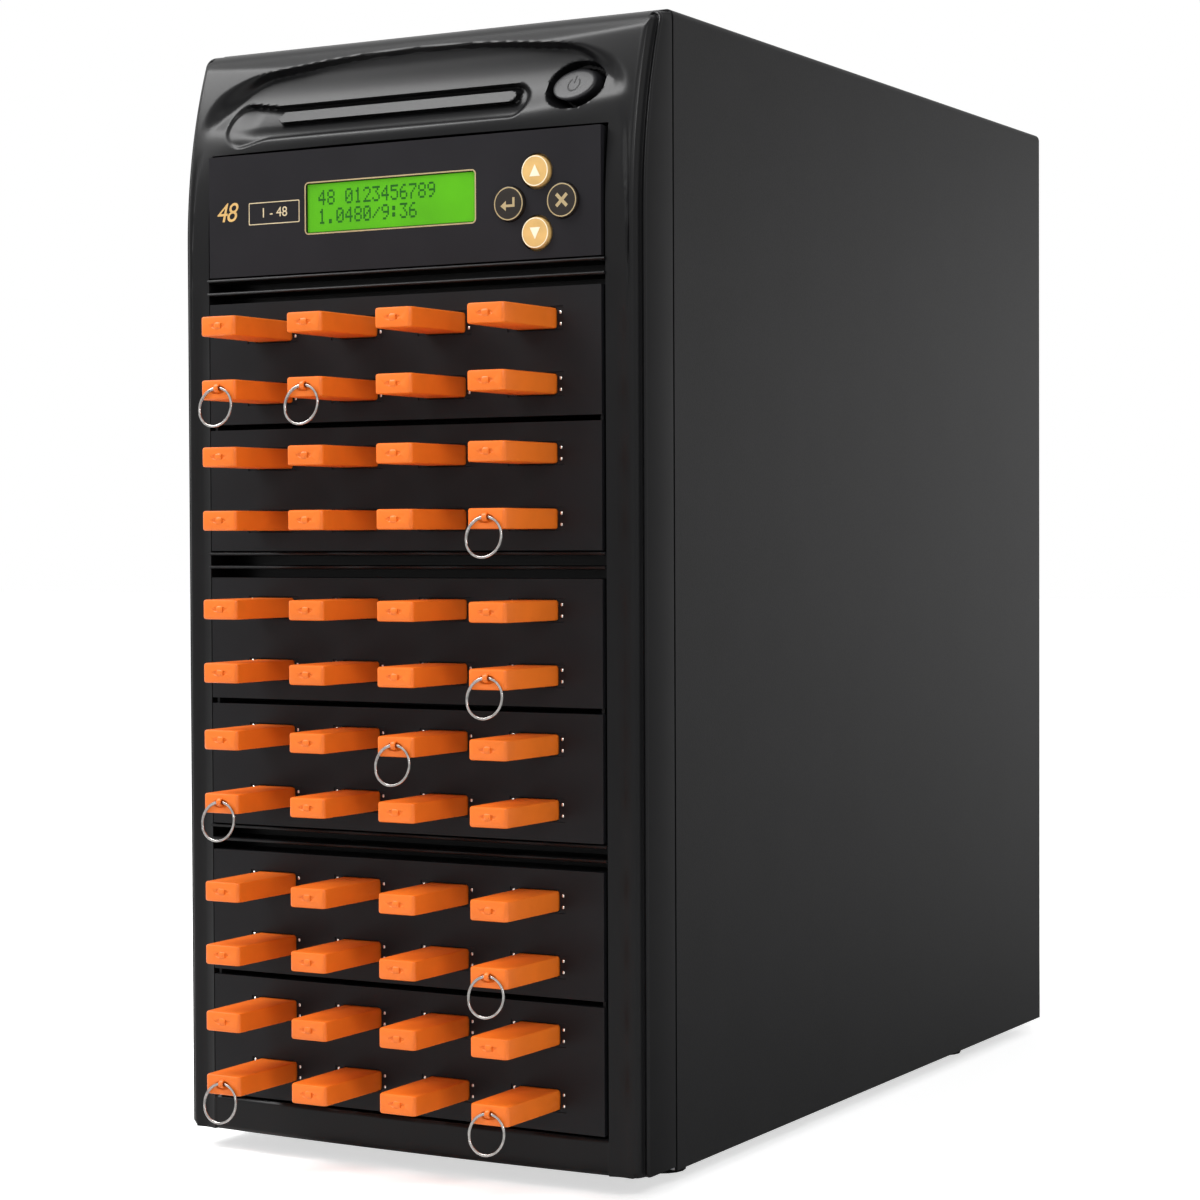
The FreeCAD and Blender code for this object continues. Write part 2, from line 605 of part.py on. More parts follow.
def fan_rotor():
    y0 = REAR_IN - FAN_T + 4 + CLEAR
    y1 = REAR_IN - 3
    hub = Part.makeCylinder(16, y1 - y0, V(0, y0, FAN_Z), V(0, 1, 0))
    out = [hub]
    for i in range(BLADES):
        blade = box(-0.8, 0.8, -8.2, 8.2, 14, FAN / 2 - 3)
        blade.rotate(V(0, 0, 0), V(0, 0, 1), 42)
        blade.translate(V(0, (y0 + y1) / 2, 0))
        blade.rotate(V(0, 0, 0), V(0, 1, 0), 360 / BLADES * i)
        blade.translate(V(0, 0, FAN_Z))
        out.append(blade)
    return hub.fuse(out[1:]).removeSplitter()


GUARD_T = 1.4


def fan_guard():
    y0 = REAR_OUT + 1.0
    y1 = y0 + GUARD_T
    out = [ring_y(0, FAN_Z, r - GUARD_T, r, 12, y0, y1) for r in (14, 25, 36)]
    length = FAN_PITCH * math.sqrt(2) + 1
    for a in (45, -45):
        arm = box(-length / 2, length / 2, y0, y1, -0.7, 0.7)
        arm.rotate(V(0, 0, 0), V(0, 1, 0), a)
        arm.translate(V(0, 0, FAN_Z))
        out.append(arm)
    out += [round_y(x, z, 4.5, 4.5, 12, REAR_OUT, y1) for x, z in fan_corners()]
    body = out[0].fuse(out[1:]).removeSplitter()
    for x, z in fan_corners():
        body = body.cut(round_y(x, z, 2.3, 2.3, 8, REAR_OUT - 1, y1 + 1))
    return body


def fan_screws():
    y0 = REAR_OUT + 1.0 + GUARD_T
    out = []
    for x, z in fan_corners():
        head = round_y(x, z, 3.6, 3.6, 12, y0, y0 + 1.8)
        out.append(head.fuse(round_y(x, z, 2.0, 2.0, 6, y0 - 14, y0)).removeSplitter())
    return compound(out)


# ---- which drives stand alone ---------------------------------------------------------------------
SOURCE = "r01_c1"
RINGED = "r02_c1 r02_c2 r04_c4 r06_c4 r07_c3 r08_c1 r10_c4 r12_c1 r12_c4".split()


def port_of(name):
    """Column and row of a port named like r02_c1."""
    return int(name[5:]), int(name[1:3])



nodes = {
    "front_bezel": front_bezel(),
    "outer_cover": outer_cover(),
    "chassis": chassis(),
    "rear_panel": rear_panel(),
    "drive_cage": drive_cage(),
    "feet": feet(),
    "cover_screws": cover_screws(),
    "power_button": power_button(),
    "power_switch": power_switch(),
    "control_faceplate": control_faceplate(),
    "lcd_module": lcd_module(),
    "control_board": control_board(),
    "port_boards": port_boards(),
    "usb_sockets": usb_sockets(),
    "power_supply": power_supply(),
    "mains_inlet": mains_inlet(),
    "mains_switch_frame": switch_frame(),
    "mains_rocker": mains_rocker(),
    "fan_frame": fan_frame(),
    "fan_rotor": fan_rotor(),
    "fan_guard": fan_guard(),
    "fan_screws": fan_screws(),
}
for name in KEYS:
    nodes[name] = key(name)
for name in BAYS:
    nodes["port_faceplate_" + name] = port_faceplate(name)
nodes["drive_source"] = drive(*port_of(SOURCE))
for name in RINGED:
    nodes["drive_" + name] = drive(*port_of(name))
    nodes["key_ring_" + name] = ring(*port_of(name))
singles = [port_of(name) for name in [SOURCE] + RINGED]
for i, name in enumerate("abcdef"):
    rows = (2 * i + 1, 2 * i + 2)
    group = [drive(c, r) for r in rows for c in range(1, COLS + 1) if (c, r) not in singles]
    nodes["drives_bay_" + name] = compound(group)

# the object reaches from the rest position of the rings to the fan screw heads
tilt = math.radians(RING_TILT)
reach = (2 * RING_R + RING_WIRE / 2) * math.cos(math.pi / RING_SIDES)
FRONT = CASE_END - RING_Y - reach * math.sin(tilt) - RING_WIRE / 2 * math.cos(tilt)
REAR = REAR_OUT + 1.0 + GUARD_T + 1.8
shift = V(0, -(FRONT + REAR) / 2, 0)

os.makedirs("parts", exist_ok=True)
for name, shape in nodes.items():
    shape.translate(shift)
    shape.exportStep("parts/" + name + ".step")
print("nodes", len(nodes), "shift", round(shift.y, 4))
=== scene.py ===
import bisect
import math

import bmesh
import bpy
from mathutils import Matrix, Vector


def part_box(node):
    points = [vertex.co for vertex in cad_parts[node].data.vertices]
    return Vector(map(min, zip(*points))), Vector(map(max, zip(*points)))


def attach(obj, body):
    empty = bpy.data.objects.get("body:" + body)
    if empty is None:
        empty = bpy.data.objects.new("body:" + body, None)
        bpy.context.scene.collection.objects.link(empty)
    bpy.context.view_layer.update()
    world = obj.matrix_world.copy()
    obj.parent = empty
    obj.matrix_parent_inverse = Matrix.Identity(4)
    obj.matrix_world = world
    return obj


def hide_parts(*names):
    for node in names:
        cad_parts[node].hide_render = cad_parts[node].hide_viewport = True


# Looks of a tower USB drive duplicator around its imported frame.  Lengths are millimetres of the
# machine: X to the right, Y backwards from the seam between bezel and cover, Z up from the floor.
# at() turns them into the row frame in metres.

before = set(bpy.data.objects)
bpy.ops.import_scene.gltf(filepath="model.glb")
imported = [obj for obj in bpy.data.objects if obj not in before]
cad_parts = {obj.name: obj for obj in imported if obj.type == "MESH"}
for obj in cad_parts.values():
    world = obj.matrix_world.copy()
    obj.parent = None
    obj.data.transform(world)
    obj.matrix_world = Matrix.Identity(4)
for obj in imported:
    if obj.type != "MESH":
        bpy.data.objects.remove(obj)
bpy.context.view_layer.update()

MM = 0.001
NEAR = 0.01                      # lengths this close count as the same
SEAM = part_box("outer_cover")[0].y
BACKWARDS = Vector((0, 1, 0))


def at(x, y, z):
    return Vector((x * MM, SEAM + y * MM, z * MM))


def corners(node):
    """Low and high corner of a CAD node in millimetres of the machine."""
    return [(p.x / MM, (p.y - SEAM) / MM, p.z / MM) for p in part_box(node)]


def mid(node):
    """Centre of a CAD node in millimetres of the machine."""
    low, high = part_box(node)
    c = (low + high) / 2
    return c.x / MM, (c.y - SEAM) / MM, c.z / MM


# ---- camera ----------------------------------------------
CAMERA = (504.5, -788.6, 206.6)
AZIMUTH, PITCH, ROLL = 29.34, -1.24, -0.24      # degrees
LENS, SENSOR = 84.58, 36
FAR = 50                                        # metres


def add_camera():
    data = bpy.data.cameras.new("camera")
    data.lens = LENS
    data.sensor_width = SENSOR
    data.clip_end = FAR
    cam = bpy.data.objects.new("camera", data)
    bpy.context.scene.collection.objects.link(cam)
    a, p, r = (math.radians(v) for v in (AZIMUTH, PITCH, ROLL))
    ahead = Vector((-math.sin(a) * math.cos(p), math.cos(a) * math.cos(p), math.sin(p)))
    right = Vector((math.cos(a), math.sin(a), 0))
    up = right.cross(ahead)
    x = right * math.cos(r) + up * math.sin(r)
    y = up * math.cos(r) - right * math.sin(r)
    turn = Matrix((x, y, -ahead)).transposed().to_4x4()
    cam.matrix_world = Matrix.Translation(at(*CAMERA)) @ turn
    bpy.context.scene.camera = cam


add_camera()
bpy.context.scene.view_settings.view_transform = "Standard"


# ---- materials -------------------------------------------
BLOTCH_STOPS = 0.3, 0.7          # noise between which a colour runs from its dark to its light side
COAT_ROUGH = 0.3
LEAST_ROUGH = 0.02


def linear(rgb):
    """Linear colour of an 8-bit sRGB one."""
    out = []
    for v in rgb:
        v = v / 255
        out.append(v / 12.92 if v <= 0.04045 else ((v + 0.055) / 1.055) ** 2.4)
    return out


def material(name, rgb, rough, metal=0.0, spec=0.5, grain=0.4, depth=0.02, blotch=25.0, vary=0.12,
             rough_vary=0.08, coat=0.0, glow=0.0):
    """Procedural finish: grain and blotch are sizes in mm, depth the height of the grain in mm,
    vary and rough_vary the reach of the colour and of the roughness."""
    m = bpy.data.materials.new(name)
    m.use_nodes = True
    add, link = m.node_tree.nodes.new, m.node_tree.links.new
    shader = m.node_tree.nodes["Principled BSDF"]
    place = add("ShaderNodeTexCoord")

    def noise(size, detail):
        node = add("ShaderNodeTexNoise")
        node.inputs["Scale"].default_value = 1 / (size * MM)
        node.inputs["Detail"].default_value = detail
        link(place.outputs["Object"], node.inputs["Vector"])
        return node.outputs["Fac"]

    coarse, fine = noise(blotch, 3), noise(grain, 2)

    ramp = add("ShaderNodeValToRGB")
    base = linear(rgb)
    for i, gain in enumerate((1 - vary, 1 + vary)):
        ramp.color_ramp.elements[i].position = BLOTCH_STOPS[i]
        ramp.color_ramp.elements[i].color = [min(1, v * gain) for v in base] + [1]
    link(coarse, ramp.inputs["Fac"])
    link(ramp.outputs["Color"], shader.inputs["Base Color"])

    span = add("ShaderNodeMapRange")
    span.inputs["To Min"].default_value = max(LEAST_ROUGH, rough - rough_vary)
    span.inputs["To Max"].default_value = min(1, rough + rough_vary)
    link(fine, span.inputs["Value"])
    link(span.outputs["Result"], shader.inputs["Roughness"])

    bump = add("ShaderNodeBump")
    bump.inputs["Strength"].default_value = 1
    bump.inputs["Distance"].default_value = depth * MM
    link(fine, bump.inputs["Height"])
    link(bump.outputs["Normal"], shader.inputs["Normal"])

    shader.inputs["Metallic"].default_value = metal
    shader.inputs["Specular IOR Level"].default_value = spec
    shader.inputs["Coat Weight"].default_value = coat
    shader.inputs["Coat Roughness"].default_value = COAT_ROUGH
    if glow:
        link(ramp.outputs["Color"], shader.inputs["Emission Color"])
        shader.inputs["Emission Strength"].default_value = glow
    return m


M = {
    "bezel": material("satin_black_plastic", (15, 15, 16), 0.31, spec=0.17, grain=0.35,
                      depth=0.010, rough_vary=0.05),
    "bezel_side": material("satin_black_wall", (16, 16, 17), 0.42, spec=0.08, grain=0.35,
                           depth=0.010),
    "cover": material("black_powder_coat", (19, 19, 20), 0.5, spec=0.09, grain=0.5, depth=0.03),
    "face": material("black_faceplate", (20, 20, 22), 0.42, spec=0.16, grain=0.3, depth=0.012),
    "overlay": material("control_overlay", (28, 27, 30), 0.42, spec=0.12, grain=0.25, depth=0.01),
    "steel": material("zinc_plated_steel", (165, 168, 170), 0.38, metal=1, grain=1.5, depth=0.01,
                      blotch=9, vary=0.2),
    # near-black steel of the drive cage is painted shade: it keeps the gaps between trays dark as
    # shadow
    "cage_painted_shade": material("cage_steel_painted_shade", (22, 22, 23), 0.5, spec=0.15, grain=1.0, depth=0.01,
                           blotch=9, vary=0.2),
    "psu": material("power_supply_steel", (150, 152, 154), 0.42, metal=1, grain=1.2, depth=0.01,
                    blotch=12, vary=0.15),
    "screw": material("screw_zinc", (190, 190, 188), 0.3, metal=1, grain=0.3, depth=0.005,
                      blotch=2),
    "black_screw": material("screw_black", (40, 40, 42), 0.35, metal=1, grain=0.3, depth=0.005,
                            blotch=2),
    "ring": material("ring_nickel", (168, 165, 162), 0.2, metal=1, grain=0.4, depth=0.004,
                     blotch=1.6, vary=0.25),
    "plug": material("plug_steel", (190, 190, 192), 0.25, metal=1, grain=0.5, depth=0.004,
                     blotch=4, vary=0.08),
    "drive": material("orange_plastic", (229, 112, 30), 0.42, spec=0.28, coat=0.15, grain=0.25,
                      depth=0.006, blotch=14, vary=0.06),
    "socket": material("socket_dark", (18, 18, 19), 0.4, metal=0.6, grain=0.4, depth=0.006,
                       blotch=5),
    "ear": material("spring_tin", (225, 222, 215), 0.3, metal=1, grain=0.3, depth=0.004, blotch=1),
    "rubber": material("foot_rubber", (18, 18, 18), 0.8, spec=0.2, grain=0.6, depth=0.03,
                       blotch=8),
    "gold": material("key_gold", (206, 168, 104), 0.42, spec=0.3, grain=0.3, depth=0.006,
                     blotch=5, vary=0.1),
    "pale": material("pale_print", (200, 184, 150), 0.5, spec=0.3, grain=0.3, depth=0.003,
                     blotch=4, vary=0.05),
    "tan": material("tan_print", (168, 150, 112), 0.5, spec=0.3, grain=0.3, depth=0.003,
                    blotch=4, vary=0.08),
    "white": material("white_print", (236, 226, 200), 0.5, spec=0.3, grain=0.3, depth=0.003,
                      blotch=4, vary=0.03),
    "key_dark": material("key_dark", (34, 29, 25), 0.4, spec=0.25, grain=0.25, depth=0.006,
                         blotch=4),
    "lcd": material("lcd_backlight", (74, 156, 3), 0.35, spec=0.25, grain=3, depth=0.002,
                    blotch=22, vary=0.1, glow=0.2),
    "lcd_text": material("lcd_segments", (16, 84, 4), 0.4, spec=0.25, grain=1, depth=0.002,
                         blotch=10, glow=0.15),
    "button": material("button_plastic", (30, 30, 32), 0.36, spec=0.22, grain=0.3, depth=0.008,
                       blotch=6),
    "symbol": material("symbol_black", (6, 6, 7), 0.5, spec=0.2, grain=0.3, depth=0.003,
                       blotch=3),
    "board": material("circuit_board", (20, 70, 34), 0.4, grain=0.8, depth=0.02, blotch=4,
                      vary=0.35),
    "inlet": material("inlet_plastic", (24, 24, 25), 0.45, spec=0.3, grain=0.4, depth=0.01,
                      blotch=6),
    "rocker": material("rocker_plastic", (30, 30, 32), 0.35, grain=0.3, depth=0.008, blotch=4),
    "fan": material("fan_plastic", (26, 26, 28), 0.42, spec=0.3, grain=0.5, depth=0.01, blotch=8),
}

CAD_FINISH = {
    "front_bezel": "bezel", "outer_cover": "cover", "rear_panel": "cover", "chassis": "steel",
    # the drive cage takes the near-black steel that paints the shade in the gaps between trays
    "drive_cage": "cage_painted_shade", "feet": "rubber", "cover_screws": "black_screw",
    "power_switch": "inlet", "power_button": "button", "control_faceplate": "overlay",
    "lcd_module": "lcd", "control_board": "board", "port_boards": "board",
    "usb_sockets": "socket", "power_supply": "psu", "mains_inlet": "inlet",
    "mains_switch_frame": "inlet", "mains_rocker": "rocker", "fan_frame": "fan",
    "fan_rotor": "fan", "fan_guard": "screw", "fan_screws": "screw", "key_up": "gold",
    "key_down": "gold", "key_enter": "key_dark", "key_escape": "key_dark",
}


def cad_finish(node):
    if node.startswith("port_faceplate"):
        return "face"
    if node.startswith("key_ring"):
        return "ring"
    if node.startswith(("drive_r", "drives_")) or node == "drive_source":
        return "drive"
    return CAD_FINISH[node]


for node_name, node_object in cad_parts.items():
    node_object.data.materials.clear()
    node_object.data.materials.append(M[cad_finish(node_name)])


# ---- mesh helpers ----------------------------------------
SQUARISH = 0.6                   # power that squares a wire's section a little


def link_object(name, mesh, finishes, angle=35):
    """Object of a mesh whose material slots are the finishes, smooth up to angle in degrees."""
    mesh.name = name
    obj = bpy.data.objects.new(name, mesh)
    bpy.context.scene.collection.objects.link(obj)
    for f in finishes:
        mesh.materials.append(M[f])
    mesh.shade_smooth()
    mesh.set_sharp_from_angle(angle=math.radians(angle))
    return obj


def mesh_of(bm, recalc=True):
    if recalc:
        bmesh.ops.recalc_face_normals(bm, faces=bm.faces)
    mesh = bpy.data.meshes.new("mesh")
    bm.to_mesh(mesh)
    bm.free()
    return mesh


def circle(n):
    """Cosine and sine of n even steps round a circle."""
    turns = [2 * math.pi * i / n for i in range(n)]
    return [(math.cos(a), math.sin(a)) for a in turns]


def rect(x0, x1, z0, z1):
    """Corners of a rectangle, as X and Z."""
    return [(x0, z0), (x1, z0), (x1, z1), (x0, z1)]


def skin(bm, rings, index=0, closed=False):
    """Surface through rings of the same count of points, closed on itself or capped at its ends."""
    rows = [[bm.verts.new(p) for p in ring] for ring in rings]
    n = len(rows[0])
    made = []
    for a, b in zip(rows, rows[1:] + rows[:1] if closed else rows[1:]):
        for i in range(n):
            j = (i + 1) % n
            made.append(bm.faces.new((a[i], a[j], b[j], b[i])))
    if not closed:
        made += [bm.faces.new(rows[0][::-1]), bm.faces.new(rows[-1])]
    for f in made:
        f.material_index = index


def wire(bm, centres, outs, sides, w, t, corner=4, closed=False):
    """Flattened wire along centres: w along sides, t along outs, in metres."""
    section = [(math.copysign(abs(c) ** SQUARISH, c) * t / 2,
                math.copysign(abs(s) ** SQUARISH, s) * w / 2) for c, s in circle(4 * corner)]
    rings = [[c + o * p + s * q for p, q in section] for c, o, s in zip(centres, outs, sides)]
    skin(bm, rings, closed=closed)


def disc(cx, cz, wide, n=56):
    """Outline of a disc for skin(), at an inset and a Y."""
    def points(inset, y):
        r = wide / 2 - inset
        return [at(cx + r * c, y, cz + r * s) for c, s in circle(n)]
    return points


def rounded_rect(cx, cz, w, h, r, n=3):
    """Outline of a rounded rectangle for skin(), at an inset and a Y."""
    least = 0.05

    def points(inset, y):
        out = []
        rr = max(r - inset, least)
        for qx, qz, start in ((1, 1, 0), (-1, 1, 90), (-1, -1, 180), (1, -1, 270)):
            for i in range(n + 1):
                a = math.radians(start + 90 * i / n)
                x = cx + qx * (w / 2 - inset - rr) + rr * math.cos(a)
                z = cz + qz * (h / 2 - inset - rr) + rr * math.sin(a)
                out.append(at(x, y, z))
        return out
    return points


def flat_shape(bm, points, y0, y1, index=0):
    """Flat printed or moulded mark: a polygon of X and Z from y0 (back) to y1 (front)."""
    skin(bm, [[at(x, y, z) for x, z in points] for y in (y0, y1)], index)


def frame_shape(bm, outer, inner, y0, y1, index=0):
    """Flat frame between two outlines of the same count."""
    rings = [outer(0, y0), outer(0, y1), inner(0, y1), inner(0, y0)]
    skin(bm, rings, index, closed=True)


def subtract(mesh, tool):
    """New mesh: mesh less tool."""
    a = bpy.data.objects.new("work", mesh)
    b = bpy.data.objects.new("tool", tool)
    for o in (a, b):
        bpy.context.scene.collection.objects.link(o)
    cut = a.modifiers.new("cut", "BOOLEAN")
    cut.operation = "DIFFERENCE"
    cut.solver = "EXACT"
    cut.object = b
    bpy.context.view_layer.update()
    out = bpy.data.meshes.new_from_object(
        a.evaluated_get(bpy.context.evaluated_depsgraph_get()))
    for o in (a, b):
        bpy.data.objects.remove(o)
    return out


def local(x, y, z):
    """Point of a template, which copies() moves to its places."""
    return Vector((x, y, z)) * MM


def copies(name, template, places, finishes):
    """One piece of several copies of a template mesh, moved by places."""
    bm = bmesh.new()
    for p in places:
        one = template.copy()
        one.transform(Matrix.Translation(p))
        bm.from_mesh(one)
        bpy.data.meshes.remove(one)
    return link_object(name, mesh_of(bm, recalc=False), finishes)


def piece(obj, body, replaces=()):
    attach(obj, body)
    if replaces:
        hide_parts(*replaces)


# ---- places of ports and drives --------------------------
BAYS = "abcdef"
ROWS = 2 * len(BAYS)
COLS, COL_PITCH, COL_OFF = 4, 33.8, 0.9
ROW_OFF = 10.3
FACE_Y = corners("port_faceplate_b")[0][1]
CASE_W, CASE_T = 14.8, 6.4
CASE_END = FACE_Y - 30.2
CASE_BACK = FACE_Y + 4.6         # the port end of a casing sits inside the window
CASE_L = CASE_BACK - CASE_END
SOURCE = (1, 1)
RINGED = [(2, 1), (2, 2), (4, 4), (6, 4), (7, 3), (8, 1), (10, 4), (12, 1), (12, 4)]


def port(r, c):
    """X and Z of a port, row 1 at the top."""
    bay = BAYS[(r - 1) // 2]
    z = mid("port_faceplate_" + bay)[2] + (ROW_OFF if r % 2 else -ROW_OFF)
    return COL_OFF + COL_PITCH * (c - (COLS + 1) / 2), z


# ---- bezel -----------------------------------------------
def smooth_curve(points):
    """Smooth function through (t, value) points that doesn't overshoot them."""
    ts = [p[0] for p in points]
    vs = [p[1] for p in points]
    d = [(b - a) / (t1 - t0) for a, b, t0, t1 in zip(vs, vs[1:], ts, ts[1:])]
    m = [d[0]] + [0 if a * b <= 0 else 2 * a * b / (a + b) for a, b in zip(d, d[1:])] + [d[-1]]

    def value(t):
        t = min(max(t, ts[0]), ts[-1])
        i = min(max(bisect.bisect_right(ts, t) - 1, 0), len(d) - 1)
        h = ts[i + 1] - ts[i]
        u = (t - ts[i]) / h
        return ((1 + 2 * u) * (1 - u) ** 2 * vs[i] + u * (1 - u) ** 2 * h * m[i]
                + u * u * (3 - 2 * u) * vs[i + 1] + u * u * (u - 1) * h * m[i + 1])

    return value


def step(t, a, b):
    """0 before a, 1 after b, smooth between."""
    u = min(max((t - a) / (b - a), 0), 1)
    return u * u * (3 - 2 * u)


def soft_max(a, b, k):
    return 0.5 * (a + b + math.sqrt((a - b) ** 2 + k * k))


BEZEL_LOW, BEZEL_HIGH = corners("front_bezel")
HALF_W = BEZEL_HIGH[0]
BEZEL_Z0, BEZEL_Z1 = BEZEL_LOW[2], BEZEL_HIGH[2]
CORNER_R = 3.6
OPEN_X, OPEN_Z0, OPEN_Z1 = 76.5, 18.8, 336.15           # opening for the faceplates
RIDGE_Y = -22.3                                         # front of the ridge beside it
BOW, BOW_X = 2.3, 84                                    # the front bows out by BOW in the middle
BEND_Z, BEND_Y = BEZEL_Z1 - 66.4, 165.0                 # centre of the arc it leans back on

# Y, or the way back in Y, over the distance from the outer edge (EDGE), from the arch inwards
# (COVE) and from the top (BROW, SCOOP); ARCH is the arch's height below the top over X
EDGE = smooth_curve([
    (0, 4.0), (0.1, 3.5), (0.25, 3.2), (0.5, 3.0), (0.8, 3.05), (1.2, 3.35), (1.55, 3.5),
    (1.85, 3.0), (2.2, 1.8), (2.6, 0.8), (3.0, 0.35), (3.5, 0.1), (4.2, 0.0), (5.0, 0.0)])
COVE = smooth_curve([
    (0, 0), (1.5, 0.08), (3.0, 0.25), (4.5, 0.28), (6.0, 0.05), (7.1, -0.22), (8.3, -0.6)])
BROW = smooth_curve([
    (0, -4.6), (0.15, -5.4), (0.5, -6.5), (1.2, -7.8), (2.4, -9.4), (4.5, -11.3), (9.0, -15.4),
    (14.4, -19.2), (20.5, -22.6), (27.0, -25.0), (33.0, -26.4), (40.0, -27.0)])
SCOOP = smooth_curve([
    (4.0, -10.2), (9.0, -10.6), (12.0, -11.2), (16.5, -12.4), (21.0, -14.4), (24.8, -16.8),
    (28.4, -19.6), (33.0, -23.6), (37.5, -27.5)])
ARCH = smooth_curve([
    (0, -5.1), (20, -5.6), (35, -6.7), (47, -8.0), (56, -9.0), (63, -10.0), (69, -11.6),
    (75.5, -14.4), (79.4, -17.9), (82.0, -22.3), (83.5, -27.0), (84.4, -34.0), (84.7, -46.0),
    (84.8, -90.0)])
ARCH_X, ARCH_DROP = 84.8, 90     # the arch's straight legs, and where they begin below the top
ARCH_START = -0.4                # distance inside the arch at which the scoop begins
BROW_SOFT, SCOOP_SOFT = 0.5, 1.2

CHIN, CHIN_TURN = 1.2, (BEZEL_Z0 - 0.4, BEZEL_Z0 + 1.4)             # lower edge of the bezel
SILL_TURN = (OPEN_Z0 - 1.3, OPEN_Z0 + 0.6)                          # lower edge of the opening
SILL_END = (OPEN_X - 0.5, OPEN_X + 0.8)
SCOOP_Z, SCOOP_TURN = 324, (326, 340)        # no scoop below SCOOP_Z, all of it above the turn
BANK, BANK_MORE, BANK_X = 1.6, 7.8, (56, 79)  # width of the scoop's bank, wider towards the sides
PLAIN_Y, PLAIN_BOW, PLAIN_X = -26, 3, 77     # front of the strip below the scoop

SLOT_Z, SLOT_LEFT, SLOT_RIGHT, SLOT_HALF = BEZEL_Z1 - 26.3, -72.2, 46.8, 6.2
FLARE, FLARE_DROP, FLARE_X = 1.9, 0.3, (-67, -52)                   # the slot's left end
SLOT_UPPER = (SLOT_Z - 5.4, SLOT_Z - 0.5)
SLOT_DEPTH, SLOT_MORE = 1.3, 1.5                                    # below, and more above
SLOT_SOFT, SLOT_SOFTER, SOFTER_X = 1.1, 2.4, (38, 45)
SHALLOW, SHALLOW_X = 0.35, (-72, -60)
RAIL_X, RAIL_Z, RAIL_W, RAIL_H = -5.6, SLOT_Z + 1.7, 93.0, 4.2      # bar in the slot
RAIL_BACK, RAIL_SLOPE, RAIL_EDGE = 0.25, 0.62, (-0.25, 0.3)
WELL_X, WELL_Z = mid("power_button")[0], mid("power_button")[2]
WELL_W, WELL_H, HOLE_W, HOLE_H = 21.2, 16.4, 17.0, 12.2
WELL_Y, WELL_EDGE = -7.5, (0.05, 1.1)

WALL_Y = -1.0                                # back of the walls, before the seam groove
GROOVE = ((-0.6, 0.55), (0, 0))              # Y and inset of the groove's steps
RIB = [(-8.0, -0.05), (FACE_Y + 0.5, -0.05), (FACE_Y + 0.05, 0.15), (FACE_Y - 0.12, 0.5),
       (FACE_Y, 0.85), (FACE_Y + 0.4, 1.08), (-8.0, 1.1)]           # section, as Y and Z
RIB_BELOW, RIB_ABOVE = 1.5, 3.0              # from the upper unit's foot, from the lower one's top
CHANNEL_BACK, CHANNEL_FRONT, CHANNEL_OVER = -10.0, -8.5, 1.0


def leaned(y, z):
    """The front leans back on an arc above the bend."""
    if z <= BEND_Z:
        return y
    return BEND_Y - math.sqrt((BEND_Y - y) ** 2 - (z - BEND_Z) ** 2)


def stadium(x, z, cx, cz, w, h):
    """Distance inside a stadium that lies along X."""
    reach = (w - h) / 2
    return h / 2 - math.hypot(max(abs(x - cx) - reach, 0), z - cz)


def oval(x, z, cx, cz, w, h):
    """Rough distance inside an oval."""
    return (1 - math.hypot((x - cx) * 2 / w, (z - cz) * 2 / h)) * min(w, h) / 2


def inside_edge(x, z):
    """Distance from the outer edge of the front, round its top corners."""
    ax, az = HALF_W - CORNER_R, BEZEL_Z1 - CORNER_R
    if abs(x) > ax and z > az:
        return CORNER_R - math.hypot(abs(x) - ax, z - az)
    return HALF_W - abs(x)


def inside_arch(x, z):
    """Signed distance inside the arch, which runs down into the ridge beside the opening."""
    ax, drop, h = abs(x), BEZEL_Z1 - z, 0.2
    if drop >= ARCH_DROP:
        return ARCH_X - ax
    slope = (ARCH(ax + h) - ARCH(max(ax - h, 0))) / (2 * h)
    return (ARCH(ax) + drop) / math.sqrt(1 + slope * slope)


def outer_y(x, z):
    """Front of the bowed band outside the arch, with its brow and rounded edges."""
    ax = abs(x)
    band = RIDGE_Y - BOW * (1 - min(ax / BOW_X, 1) ** 2)
    y = leaned(band + EDGE(inside_edge(x, z)), z)
    y = soft_max(y, BROW(BEZEL_Z1 - z), BROW_SOFT)
    y += CHIN * (1 - step(z, *CHIN_TURN))
    if z < OPEN_Z0 + NEAR:
        y += step(z, *SILL_TURN) * (1 - step(ax, *SILL_END))
    return y


def slotted(x, z, y):
    """Grip slot: steep under its upper edge, sloping out to its lower one, with a bar and a
    flared end."""
    flare = 1 - step(x, *FLARE_X)
    beyond = max(SLOT_LEFT + SLOT_HALF + FLARE - x, x - SLOT_RIGHT + SLOT_HALF, 0)
    e = SLOT_HALF + FLARE * flare - math.hypot(beyond, z - SLOT_Z + FLARE_DROP * flare)
    if e <= 0:
        return y
    upper = step(z, *SLOT_UPPER)
    soft = SLOT_SOFT + SLOT_SOFTER * upper * step(x, *SOFTER_X)
    full = SHALLOW + (1 - SHALLOW) * step(x, *SHALLOW_X)
    y += step(e, 0, soft) * (SLOT_DEPTH + SLOT_MORE * upper) * full
    bar = SCOOP(BEZEL_Z1 - RAIL_Z) + RAIL_BACK + RAIL_SLOPE * (z - RAIL_Z)
    r = stadium(x, z, RAIL_X, RAIL_Z, RAIL_W, RAIL_H)
    return y + (min(bar, y) - y) * step(r, *RAIL_EDGE)


